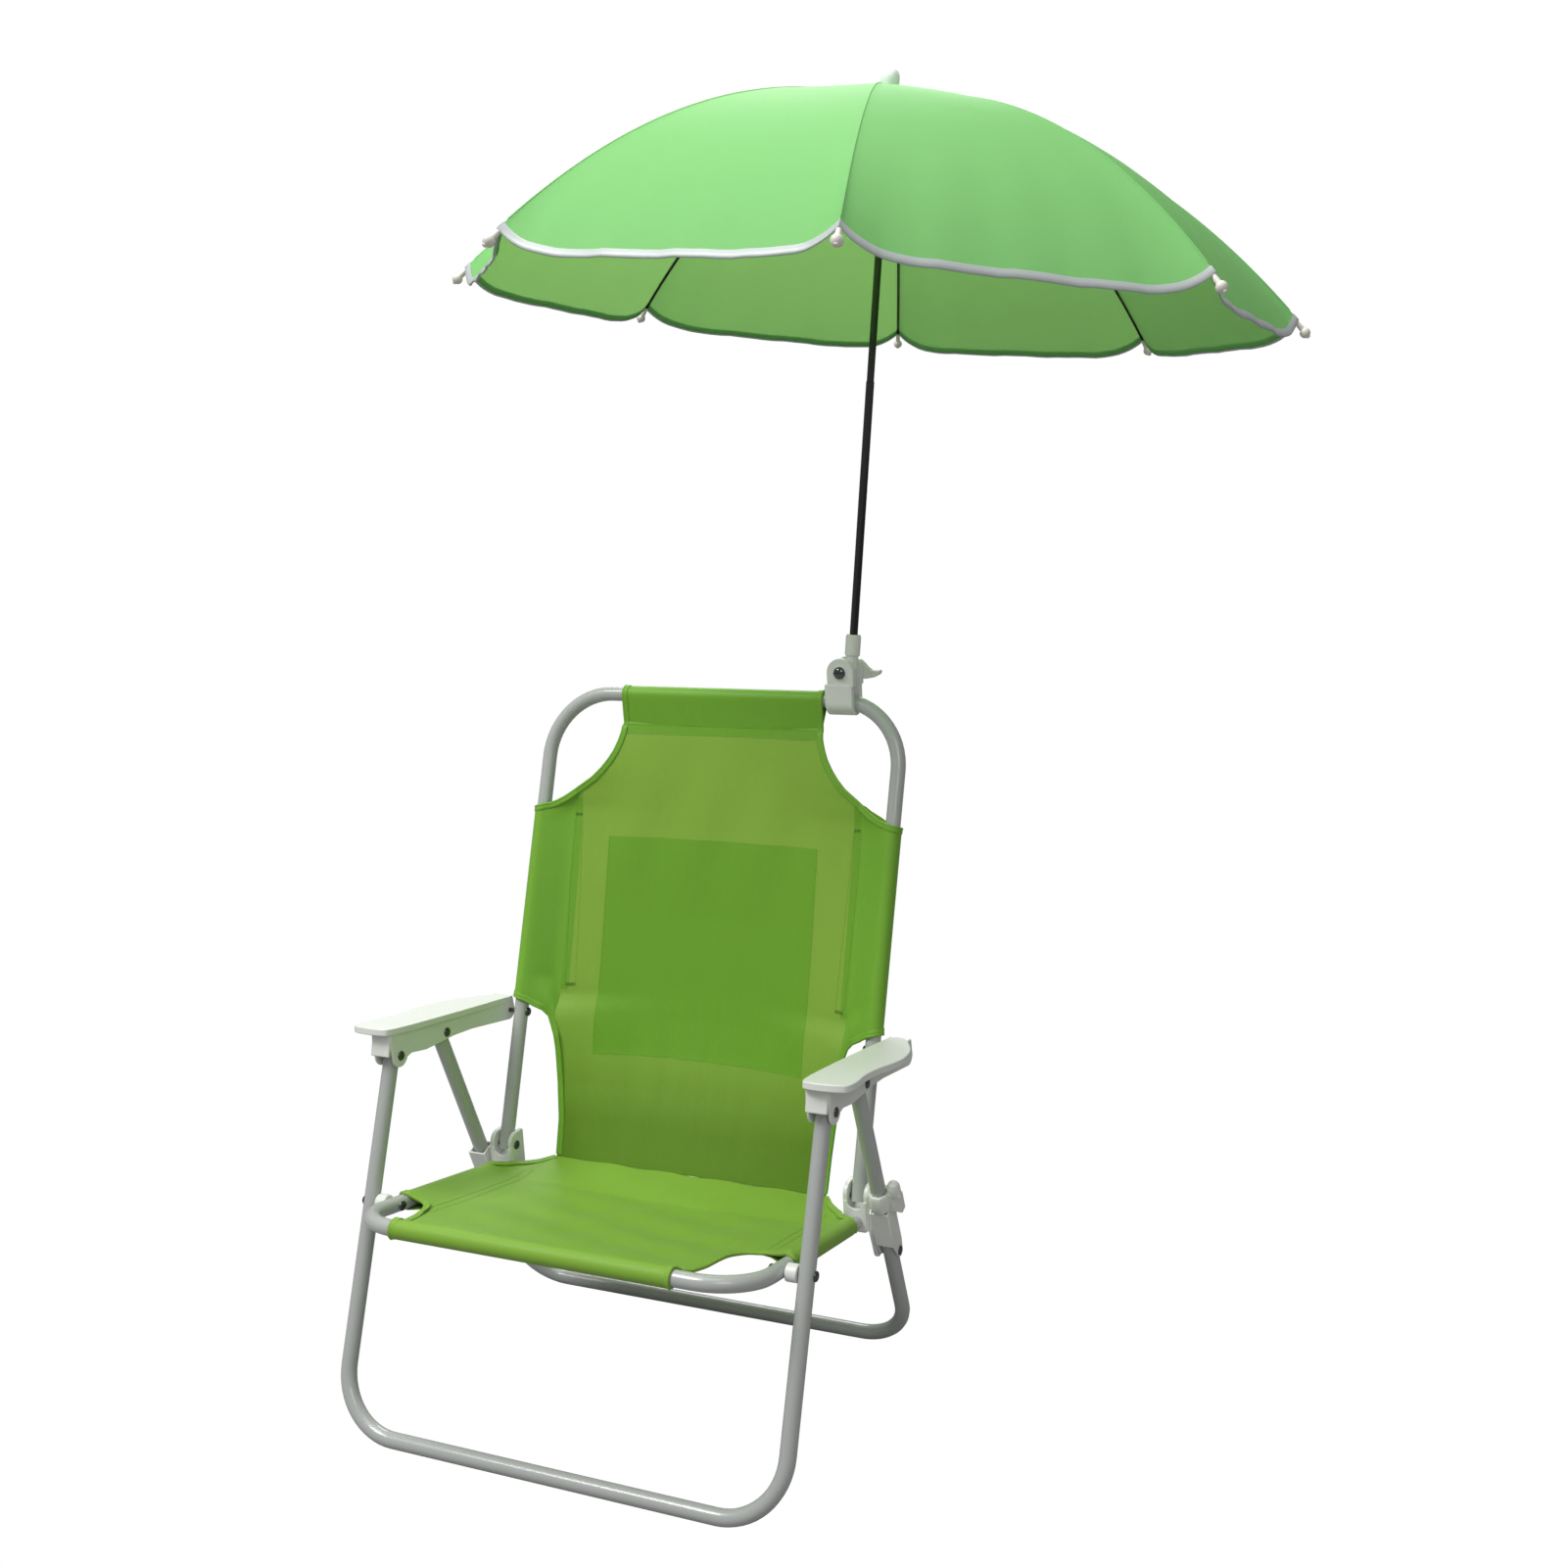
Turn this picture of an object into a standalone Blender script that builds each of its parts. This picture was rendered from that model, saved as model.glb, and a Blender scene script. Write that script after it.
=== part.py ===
# Child's folding beach chair with a clip-on sunshade.
# The chair is drawn in its own frame: x across from its middle plane, y back from the front foot
# bar, z up from the ground. One empty carries it to the part's origin, which lies on the ground
# under the middle of the whole object, sunshade included.

import math

import bmesh
import bpy
from mathutils import Matrix, Vector

# Place of the chair under the part's origin
CHAIR_SHIFT_X = -0.1323
CHAIR_SHIFT_Y = -0.3617

# Steel tubes
TUBE_RADIUS = 0.0065
TUBE_SIDES_RESOLUTION = 4
LEG_HALF_WIDTH = 0.197
SPACER_LENGTH = 0.010
POST_HALF_WIDTH = LEG_HALF_WIDTH - 2 * TUBE_RADIUS - SPACER_LENGTH
BEND_STEPS = 7

# Pivots of the folding frame, as (y, z)
ARM_FRONT_PIVOT = Vector((0.1112, 0.2897))
ARM_MIDDLE_PIVOT = Vector((0.1744, 0.2878))
ARM_REAR_PIVOT = Vector((0.2687, 0.2758))
LINK_VECTOR = Vector((0.0414, 0.1134))
SEAT_PIVOT = ARM_FRONT_PIVOT - LINK_VECTOR
POST_PIVOT = ARM_REAR_PIVOT - LINK_VECTOR

# Tube slopes, as y gained for each unit of z
FRONT_LEG_SLOPE_SHARE = 0.385
REAR_LEG_SLOPE_SHARE = -0.3588
BACK_SLOPE_SHARE = 0.355
SEAT_FALL_SHARE = -0.225

FRONT_BEND_RADIUS = 0.052
REAR_BEND_RADIUS = 0.045
BACK_BEND_RADIUS = 0.060
SEAT_BEND_RADIUS = 0.042
LEG_STUB = 0.008
POST_STUB = 0.0045
BACK_TOP_HEIGHT = 0.5576
SEAT_FRONT_Y = 0.0147

# Rivets and clearances
GAP = 0.0003
RIVET_RADIUS = 0.0020
RIVET_HEAD_RADIUS = 0.0040
RIVET_HEAD_HEIGHT = 0.0016
CUT_OVERRUN = 0.004
HOLE_RADIUS = RIVET_RADIUS + GAP
ROUND_STEPS = 12
BORE_STEPS = 28

# Seat brackets, from the post's pivot and round the post
BRACKET_AHEAD = 0.0095
BRACKET_BEHIND = 0.0122
BRACKET_SIDE_WALL = 0.0050
PLATE_STEP = 0.0009
BRACKET_WALL = 0.0024
EAR_RADIUS = 0.0102
EAR_TOP = 0.0120
LOBE_RADIUS = 0.0088
RAIL_IN_BRACKET = 0.0130
BRACKET_FRONT_Y = POST_PIVOT[0] - BRACKET_AHEAD
BRACKET_REAR_Y = POST_PIVOT[0] + BRACKET_BEHIND
RAIL_END_Y = BRACKET_FRONT_Y + RAIL_IN_BRACKET
BRACKET_INNER_X = POST_HALF_WIDTH - TUBE_RADIUS - BRACKET_SIDE_WALL
BRACKET_BLOCK_OUTER_X = POST_HALF_WIDTH + TUBE_RADIUS + BRACKET_SIDE_WALL
BRACKET_PLATE_INNER_X = BRACKET_BLOCK_OUTER_X - PLATE_STEP
BRACKET_SLOT_HALF = TUBE_RADIUS + GAP

# Umbrella clamp on the top bar, just where the bar begins to bend
CLAMP_PAST_BEND = 0.0035
CLAMP_X = POST_HALF_WIDTH - BACK_BEND_RADIUS + CLAMP_PAST_BEND
BOLT_SHIFT_X = 0.0020
CLAMP_HALF_LENGTH = 0.0128
CLAMP_WALL = 0.0060
CLAMP_OUTER_RADIUS = TUBE_RADIUS + CLAMP_WALL
CHEEK_HALF_WIDTH = 0.0122
CHEEK_STEP_HEIGHT = 0.0157
CLAMP_MOUTH_HALF = 0.0063
BOLT_HEIGHT = 0.0260
BOLT_RADIUS = 0.0024
BOLT_HEAD_RADIUS = 0.0044
BOLT_HEAD_HEIGHT = 0.0026
EYE_RADIUS = 0.0092
SOCKET_RADIUS = 0.0066
SOCKET_SHIFT_X = 0.0060
SOCKET_START = 0.0134
SOCKET_TOP = 0.0320
SOCKET_DEPTH = 0.0150
LEVER_THICKNESS = 0.0070
LEVER_HUB_RADIUS = 0.0080
LEVER_REACH = 0.0275
LEVER_TIP_RADIUS = 0.0017

# Back cloth. Its heights run from -1 at the lower edge over 0 at the foot of the post sleeves to 1 at
# the top bar, its widths from 0 at the top sleeve's end to 1 at the posts.
CLOTH_THICKNESS = 0.0012
CLOTH_COLUMNS = 10
SLEEVE_OVER_ARM = 0.0212
CLOTH_UNDER_PIVOT = 0.0134
SLEEVE_TO_CLAMP = 0.0054
SLEEVE_BOTTOM = ARM_REAR_PIVOT[1] + SLEEVE_OVER_ARM
CLOTH_BOTTOM = POST_PIVOT[1] - CLOTH_UNDER_PIVOT
TOP_SLEEVE_HALF = CLAMP_X - CLAMP_HALF_LENGTH - SLEEVE_TO_CLAMP
POST_SLEEVE_TOP_SHARE = 0.6216
POCKET_TOP_SHARE = 0.5449
POCKET_BOTTOM_SHARE = -0.3197
POCKET_WIDTH_SHARE = 0.6034
# Rows of (height, width)
BACK_EDGE_SHARES = (
    (1.0, 0.0), (0.9056, 0.0), (0.8557, 0.0), (0.7982, -0.0174), (0.7406, 0.1165), (0.6754, 0.4244),
    (0.6370, 0.7858), (0.6178, 1.0), (0.4720, 1.0), (0.2418, 1.0), (0.0, 1.0), (-0.0476, 0.8795),
    (-0.0748, 0.7456), (-0.1497, 0.6252), (-0.3673, 0.5448), (-0.5918, 0.4779), (-0.8027, 0.4511),
    (-1.0, 0.4378),
)
BACK_BOW = 0.0365
# Rows of (height, bow in the middle, bow at the edges)
BACK_BOW_SHARES = (
    (1.0, 0.0, 0.0), (0.8557, 0.1096, 0.0), (0.5487, 0.4932, 0.0), (0.2418, 0.7945, 0.0),
    (0.0, 0.9589, 0.0), (-0.1837, 1.0, 0.1644), (-0.3673, 1.0, 0.3836), (-0.5918, 0.9589, 0.6027),
    (-0.8027, 0.8493, 0.7123), (-1.0, 0.7260, 0.7260),
)

# Seat cloth. Its distances run from 0 at the front bar to 1 at the rear edge, its widths from 0 at the
# front sleeve's end to 1 at the rails.
CLOTH_BEHIND_PIVOT = 0.0212
SEAM_STEP = 0.0028
SLEEVE_TO_BEND = 0.0070
SLEEVE_BEHIND_PIVOT = 0.0022
SLEEVE_TO_BRACKET = 0.0160
SEAT_CLOTH_REAR = POST_PIVOT[0] + CLOTH_BEHIND_PIVOT
FRONT_SLEEVE_HALF = POST_HALF_WIDTH - SEAT_BEND_RADIUS - SLEEVE_TO_BEND
RAIL_SLEEVE_FRONT = SEAT_PIVOT[0] + SLEEVE_BEHIND_PIVOT
RAIL_SLEEVE_REAR = BRACKET_FRONT_Y - SLEEVE_TO_BRACKET
# Rows of (distance, width)
SEAT_EDGE_SHARES = (
    (0.0, 0.0), (0.0868, 0.1224), (0.1809, 0.2041), (0.2280, 0.5102), (0.2451, 1.0), (0.3435, 1.0),
    (0.4504, 1.0), (0.5573, 1.0), (0.6856, 1.0), (0.8003, 1.0), (0.8500, 0.7960), (0.8888, 0.6939),
    (0.9457, 0.4306), (1.0, 0.1800),
)
SEAT_SAG = 0.008
# Rows of (distance, sag in the middle, sag at the edges)
SEAT_SAG_SHARES = (
    (0.0, 0.0, 0.0), (0.2365, 0.625, 0.0), (0.4504, 1.0, 0.0), (0.6856, 1.0, 0.0),
    (0.8003, 0.75, 0.0), (1.0, 0.0, 0.0),
)

# Arm rests. The pad's outline runs from its inner front corner, as shares of (width, length).
ARM_PAD_THICKNESS = 0.006
ARM_WALL = 0.0024
ARM_FRONT_RISE = Vector((-0.0172, 0.0288))
ARM_REAR_RISE = Vector((0.0103, 0.0112))
ARM_TOP_FRONT = ARM_FRONT_PIVOT + ARM_FRONT_RISE
ARM_TOP_REAR = ARM_REAR_PIVOT + ARM_REAR_RISE
ARM_INSET = 0.0162
ARM_INNER_X = LEG_HALF_WIDTH - ARM_INSET
ARM_PAD_WIDTH = 0.0454
CHANNEL_PLAY = 0.0009
ARM_CHANNEL_HALF = TUBE_RADIUS + CHANNEL_PLAY
ARM_PAD_SHARES = (
    (0.115, 0.032), (0.214, 0.009), (0.511, 0.002), (0.819, 0.016), (0.934, 0.048), (0.941, 0.134),
    (0.890, 0.235), (0.903, 0.374), (1.0, 0.535), (1.0, 0.631), (0.896, 0.760), (0.709, 0.872),
    (0.511, 0.963), (0.324, 0.990), (0.170, 0.960), (0.130, 0.802), (0.082, 0.535), (0.0, 0.200),
    (0.020, 0.090),
)

# Guides and lock on the rear legs
GUIDE_WALL = 0.0020
GUIDE_BELOW = 0.0075
GUIDE_ABOVE = 0.0490
GUIDE_FRONT_FOOT = 0.0110
LOCK_HEIGHT = 0.0165
LOCK_WALL = 0.0030
LOCK_TRAVEL = 0.012
TAB_REACH = 0.0105
TAB_THICKNESS = 0.0060
KNOB_RADIUS = 0.0052
KNOB_HEIGHT = 0.0095

# Umbrella, measured along its pole from the middle of the clamp bolt
POLE_RADIUS = 0.0035
POLE_LEAN_X_SHARE = 0.0850
POLE_LEAN_Y_SHARE = 0.0565
RIM_HEIGHT = 0.3086
RIM_RADIUS = 0.3538
CROWN_RISE = 0.1565
DOME_POWER = 2.2
HUB_PIVOT_RADIUS = 0.009
RIB_COUNT = 8
FIRST_RIB_DEGREES = -117.65
RIB_RADIUS = 0.0011
RIB_TIP_BALL = 0.0043
STRETCHER_LENGTH = 0.150
STRETCHER_RADIUS = 0.0010
RUNNER_LENGTH = 0.030
RUNNER_RIM_RADIUS = 0.0076
RUNNER_BODY_RADIUS = 0.0060
CROWN_RADIUS = 0.0070
CROWN_HEIGHT = 0.0060
CANOPY_THICKNESS = 0.0010
HEM_DROP = 0.0210
GORE_ROW_SHARES = (0, 0.08, 0.25, 0.42, 0.6, 0.78, 0.9, 1)
GORE_STEPS_ROUND = 8
GORE_START_RADIUS = 0.0048
HALVINGS = 40
FERRULE_RADIUS = 0.0076
FERRULE_HEIGHT = 0.0255

PAINTED_STEEL = ("white_paint", (0.60, 0.62, 0.62), 0.30, 0.0)
PALE_PLASTIC = ("pale_plastic", (0.70, 0.72, 0.69), 0.40, 0.0)
RIVET_STEEL = ("rivet_steel", (0.20, 0.20, 0.20), 0.25, 1.0)
CHROME = ("chrome", (0.55, 0.55, 0.55), 0.12, 1.0)
LIME_NYLON = ("lime_nylon", (0.25, 0.50, 0.05), 0.60, 0.0)
CANOPY_CLOTH = ("canopy_cloth", (0.12, 0.62, 0.14), 0.60, 0.0)
RIB_STEEL = ("rib_steel", (0.06, 0.06, 0.06), 0.35, 1.0)


def clear_scene():
    for old in list(bpy.data.objects):
        bpy.data.objects.remove(old, do_unlink=True)


def new_collection(name, hidden=False):
    found = bpy.data.collections.new(name)
    found.hide_render = hidden
    bpy.context.scene.collection.children.link(found)
    return found


clear_scene()
PARTS = new_collection("canopy_folding_chair")
CUTTERS = new_collection("cutters", hidden=True)
CHAIR = bpy.data.objects.new("chair_place", None)
CHAIR.location = (CHAIR_SHIFT_X, CHAIR_SHIFT_Y, 0)
PARTS.objects.link(CHAIR)


# Shared makers


def material(finish):
    name, colour, roughness, metallic = finish
    found = bpy.data.materials.get(name)
    if found:
        return found
    found = bpy.data.materials.new(name)
    found.use_nodes = True
    shader = found.node_tree.nodes["Principled BSDF"]
    shader.inputs["Base Color"].default_value = (*colour, 1)
    shader.inputs["Roughness"].default_value = roughness
    shader.inputs["Metallic"].default_value = metallic
    return found


def add_part(name, mesh, finish, smooth=True):
    mesh.materials.append(material(finish))
    part = bpy.data.objects.new(name, mesh)
    part.parent = CHAIR
    PARTS.objects.link(part)
    if smooth:
        mesh.shade_smooth()
        mesh.set_sharp_from_angle(angle=math.radians(40))
    return part


def add_cutter(name, mesh):
    cutter = bpy.data.objects.new(name, mesh)
    cutter.parent = CHAIR
    cutter.hide_render = True
    cutter.display_type = "WIRE"
    CUTTERS.objects.link(cutter)
    return cutter


def boolean(part, other, operation="DIFFERENCE"):
    step = part.modifiers.new(other.name, "BOOLEAN")
    step.operation = operation
    step.solver = "EXACT"
    step.object = other


def mesh_from(bm, name):
    bmesh.ops.recalc_face_normals(bm, faces=bm.faces)
    mesh = bpy.data.meshes.new(name)
    bm.to_mesh(mesh)
    bm.free()
    return mesh


def box_mesh(name, low, high):
    bm = bmesh.new()
    bmesh.ops.create_cube(bm, size=1)
    size = Vector(high) - Vector(low)
    middle = (Vector(high) + Vector(low)) / 2
    bmesh.ops.scale(bm, vec=size, verts=bm.verts)
    bmesh.ops.translate(bm, vec=middle, verts=bm.verts)
    return mesh_from(bm, name)


def turn_to(direction):
    """The rotation that lays the z axis along a direction."""
    return Vector((0, 0, 1)).rotation_difference(Vector(direction).normalized()).to_matrix().to_4x4()


def rod_mesh(name, start, end, radius, steps=ROUND_STEPS):
    start, end = Vector(start), Vector(end)
    bm = bmesh.new()
    bmesh.ops.create_cone(
        bm, cap_ends=True, segments=steps, radius1=radius, radius2=radius,
        depth=(end - start).length,
    )
    place = Matrix.Translation((start + end) / 2) @ turn_to(end - start)
    bmesh.ops.transform(bm, matrix=place, verts=bm.verts)
    return mesh_from(bm, name)


def turned_mesh(name, profile, start, direction, steps=ROUND_STEPS):
    """A solid of revolution. The profile runs from the axis out and back to it, as (radius, height)."""
    bm = bmesh.new()
    corners = [bm.verts.new((radius, 0, height)) for radius, height in profile]
    edges = [bm.edges.new(pair) for pair in zip(corners, corners[1:])]
    bmesh.ops.spin(
        bm, geom=corners + edges, axis=(0, 0, 1), cent=(0, 0, 0),
        angle=math.tau, steps=steps, use_merge=True,
    )
    bmesh.ops.remove_doubles(bm, verts=bm.verts, dist=GAP / 10)
    place = Matrix.Translation(Vector(start)) @ turn_to(direction)
    bmesh.ops.transform(bm, matrix=place, verts=bm.verts)
    return mesh_from(bm, name)


def slab_mesh(name, outline, low, high, axis="X"):
    """A flat outline pushed out along one axis. X outlines are (y, z), Y ones (x, z), Z ones (x, y)."""
    def place(a, b, level):
        return {"X": (level, a, b), "Y": (a, level, b), "Z": (a, b, level)}[axis]

    bm = bmesh.new()
    ring = [bm.verts.new(place(a, b, low)) for a, b in outline]
    face = bm.faces.new(ring)
    moved = bmesh.ops.extrude_face_region(bm, geom=[face])["geom"]
    shift = Vector(place(0, 0, high)) - Vector(place(0, 0, low))
    bmesh.ops.translate(bm, vec=shift, verts=[v for v in moved if isinstance(v, bmesh.types.BMVert)])
    return mesh_from(bm, name)


def arc(centre, radius, start, end, steps):
    """Points of a round stretch, angles in degrees, both ends included."""
    found = []
    for step in range(steps + 1):
        angle = math.radians(start + (end - start) * step / steps)
        found.append((centre[0] + radius * math.cos(angle), centre[1] + radius * math.sin(angle)))
    return found


def tube_mesh(name, points, radius, resolution=TUBE_SIDES_RESOLUTION):
    """A bent tube: a poly curve with a round bevel, made a mesh with its end caps welded."""
    curve = bpy.data.curves.new(name + "_path", "CURVE")
    curve.dimensions = "3D"
    curve.bevel_depth = radius
    curve.bevel_resolution = resolution
    curve.use_fill_caps = True
    spline = curve.splines.new("POLY")
    spline.points.add(len(points) - 1)
    for target, point in zip(spline.points, points):
        target.co = (*point, 1)
    guide = bpy.data.objects.new(name + "_path", curve)
    PARTS.objects.link(guide)
    bpy.context.view_layer.update()
    evaluated = guide.evaluated_get(bpy.context.evaluated_depsgraph_get())
    mesh = bpy.data.meshes.new_from_object(evaluated)
    mesh.name = name
    bpy.data.objects.remove(guide, do_unlink=True)
    mesh.materials.clear()
    bm = bmesh.new()
    bm.from_mesh(mesh)
    bmesh.ops.remove_doubles(bm, verts=bm.verts, dist=GAP / 10)
    bm.to_mesh(mesh)
    bm.free()
    return mesh


def hoop_points(half_width, length, bend, foot, direction):
    """The middle line of a U: up one leg, round two bends and up the other. foot and direction are (y, z)."""
    flat = [(-half_width, length)]
    flat += arc((-half_width + bend, bend), bend, 180, 270, BEND_STEPS)
    flat += arc((half_width - bend, bend), bend, 270, 360, BEND_STEPS)
    flat += [(half_width, length)]
    return [(x, foot[0] + direction[0] * s, foot[1] + direction[1] * s) for x, s in flat]


def drill(part, pivot, radius=HOLE_RADIUS, name="hole"):
    """A cross hole right through both sides of a frame, about a pivot given as (y, z)."""
    reach = LEG_HALF_WIDTH + TUBE_RADIUS + CUT_OVERRUN
    start, end = (-reach, pivot[0], pivot[1]), (reach, pivot[0], pivot[1])
    boolean(part, add_cutter(f"{part.name}_{name}", rod_mesh(name, start, end, radius)))


def rivet(name, low_x, high_x, pivot, side, finish=RIVET_STEEL):
    """A round-headed rivet along x between two outer faces, on one side of the chair."""
    half = (high_x - low_x) / 2
    head, rise = RIVET_HEAD_RADIUS, RIVET_HEAD_HEIGHT
    profile = [(0, -half - rise), (head * 0.6, -half - rise * 0.8), (head, -half)]
    profile += [(RIVET_RADIUS, -half), (RIVET_RADIUS, half)]
    profile += [(head, half), (head * 0.6, half + rise * 0.8), (0, half + rise)]
    middle = (side * (low_x + high_x) / 2, pivot[0], pivot[1])
    return add_part(name, turned_mesh(name, profile, middle, (1, 0, 0)), finish)


def slope_direction(share):
    return Vector((share, 1)).normalized()


def on_line(through, share, height):
    """The (y, z) point at a height on a tube that passes through a point."""
    return Vector((through[0] + share * (height - through[1]), height))


# Pivots that follow from the others

REAR_LEG_DOWN = -slope_direction(REAR_LEG_SLOPE_SHARE)
GUIDE_DISTANCE = -2 * REAR_LEG_DOWN.dot(LINK_VECTOR)
GUIDE_PIVOT = ARM_MIDDLE_PIVOT + REAR_LEG_DOWN * GUIDE_DISTANCE
FRONT_LEG_MIDDLE = (ARM_FRONT_PIVOT + SEAT_PIVOT) / 2
BACK_MIDDLE = (ARM_REAR_PIVOT + POST_PIVOT) / 2
TOP_BAR = on_line(BACK_MIDDLE, BACK_SLOPE_SHARE, BACK_TOP_HEIGHT)
SIDES = (("left", -1), ("right", 1))


# Frames


def leg_frame(name, through, share, top_pivot, bend, finish):
    foot = on_line(through, share, TUBE_RADIUS)
    top = on_line(through, share, top_pivot[1])
    direction = slope_direction(share)
    length = (top - foot).length + LEG_STUB
    points = hoop_points(LEG_HALF_WIDTH, length, bend, foot, direction)
    return add_part(name, tube_mesh(name, points, TUBE_RADIUS), finish)


def build_front_legs():
    frame = leg_frame(
        "front_leg_frame", FRONT_LEG_MIDDLE, FRONT_LEG_SLOPE_SHARE,
        ARM_FRONT_PIVOT, FRONT_BEND_RADIUS, PAINTED_STEEL,
    )
    drill(frame, ARM_FRONT_PIVOT, name="arm_hole")
    drill(frame, SEAT_PIVOT, name="seat_hole")


def build_rear_legs():
    frame = leg_frame(
        "rear_leg_frame", ARM_MIDDLE_PIVOT, REAR_LEG_SLOPE_SHARE,
        ARM_MIDDLE_PIVOT, REAR_BEND_RADIUS, PAINTED_STEEL,
    )
    drill(frame, ARM_MIDDLE_PIVOT, name="arm_hole")


def back_frame_points():
    low = on_line(BACK_MIDDLE, BACK_SLOPE_SHARE, POST_PIVOT[1])
    down = -slope_direction(BACK_SLOPE_SHARE)
    length = (TOP_BAR - low).length + POST_STUB
    return hoop_points(POST_HALF_WIDTH, length, BACK_BEND_RADIUS, TOP_BAR, down)


def build_back_frame():
    frame = add_part("back_frame", tube_mesh("back_frame", back_frame_points(), TUBE_RADIUS), PAINTED_STEEL)
    drill(frame, ARM_REAR_PIVOT, name="arm_hole")
    drill(frame, POST_PIVOT, name="bracket_hole")


def rail_point(y):
    return Vector((y, SEAT_PIVOT[1] + SEAT_FALL_SHARE * (y - SEAT_PIVOT[0])))


RAIL_DIRECTION = Vector((1, SEAT_FALL_SHARE)).normalized()


def build_seat_frame():
    front = rail_point(SEAT_FRONT_Y)
    length = (rail_point(RAIL_END_Y) - front).length
    points = hoop_points(POST_HALF_WIDTH, length, SEAT_BEND_RADIUS, front, RAIL_DIRECTION)
    frame = add_part("seat_frame", tube_mesh("seat_frame", points, TUBE_RADIUS), PAINTED_STEEL)
    drill(frame, SEAT_PIVOT, name="leg_hole")


def build_seat_spacers():
    """Plastic collars that hold the front legs off the seat rails."""
    low = POST_HALF_WIDTH + TUBE_RADIUS + GAP
    high = LEG_HALF_WIDTH - TUBE_RADIUS - GAP
    radius = TUBE_RADIUS + 2 * GAP
    for word, side in SIDES:
        profile = [(HOLE_RADIUS, 0), (radius, 0), (radius, high - low), (HOLE_RADIUS, high - low), (HOLE_RADIUS, 0)]
        start = (side * low, SEAT_PIVOT[0], SEAT_PIVOT[1])
        mesh = turned_mesh(f"seat_spacer_{word}", profile, start, (side, 0, 0), BORE_STEPS)
        add_part(f"seat_spacer_{word}", mesh, PALE_PLASTIC)
        rivet(
            f"seat_rivet_{word}", POST_HALF_WIDTH - TUBE_RADIUS - GAP,
            LEG_HALF_WIDTH + TUBE_RADIUS + GAP, SEAT_PIVOT, side,
        )


# Arm rests


ARM_ALONG = (ARM_TOP_REAR - ARM_TOP_FRONT).normalized()
ARM_UP = Vector((-ARM_ALONG[1], ARM_ALONG[0]))
ARM_LENGTH = (ARM_TOP_REAR - ARM_TOP_FRONT).length
ARM_WALL_INNER_X = LEG_HALF_WIDTH - ARM_CHANNEL_HALF
ARM_WALL_OUTER_X = LEG_HALF_WIDTH + ARM_CHANNEL_HALF


def arm_pad_outline(side):
    """The pad seen from above, as (x, distance back from its front edge)."""
    return [(side * (ARM_INNER_X + ARM_PAD_WIDTH * a), ARM_LENGTH * b) for a, b in ARM_PAD_SHARES]


def arm_frame():
    """The matrix from the pad's own frame (x, back, up) to the chair's."""
    return Matrix((
        (1, 0, 0, 0),
        (0, ARM_ALONG[0], ARM_UP[0], ARM_TOP_FRONT[0]),
        (0, ARM_ALONG[1], ARM_UP[1], ARM_TOP_FRONT[1]),
        (0, 0, 0, 1),
    ))


def arm_skirt_outline():
    """The side of the skirt, as (y, z): a lobe about the front rivet, then a long edge under the others."""
    front, middle, rear = ARM_FRONT_PIVOT, ARM_MIDDLE_PIVOT, ARM_REAR_PIVOT
    lobe = TUBE_RADIUS + ARM_WALL
    start = ARM_TOP_FRONT + ARM_ALONG * (ARM_PAD_THICKNESS) - ARM_UP * (ARM_PAD_THICKNESS / 2)
    end = ARM_TOP_REAR - ARM_ALONG * (ARM_WALL * 1.5) - ARM_UP * (ARM_PAD_THICKNESS / 2)
    outline = [tuple(start), (start[0] + ARM_WALL, front[1] + lobe)]
    outline += arc(front, lobe, 180, 330, 6)
    notch_y = (front[0] * 3 + middle[0]) / 4 + ARM_WALL
    outline += [(notch_y, front[1] - ARM_WALL)]
    outline += [(middle[0] - lobe * 2, middle[1] - RIVET_HEAD_RADIUS - ARM_WALL)]
    outline += [(middle[0], middle[1] - RIVET_HEAD_RADIUS - ARM_WALL / 2)]
    outline += arc(rear, lobe, 255, 340, 4)
    outline += [tuple(end)]
    return outline


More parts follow.
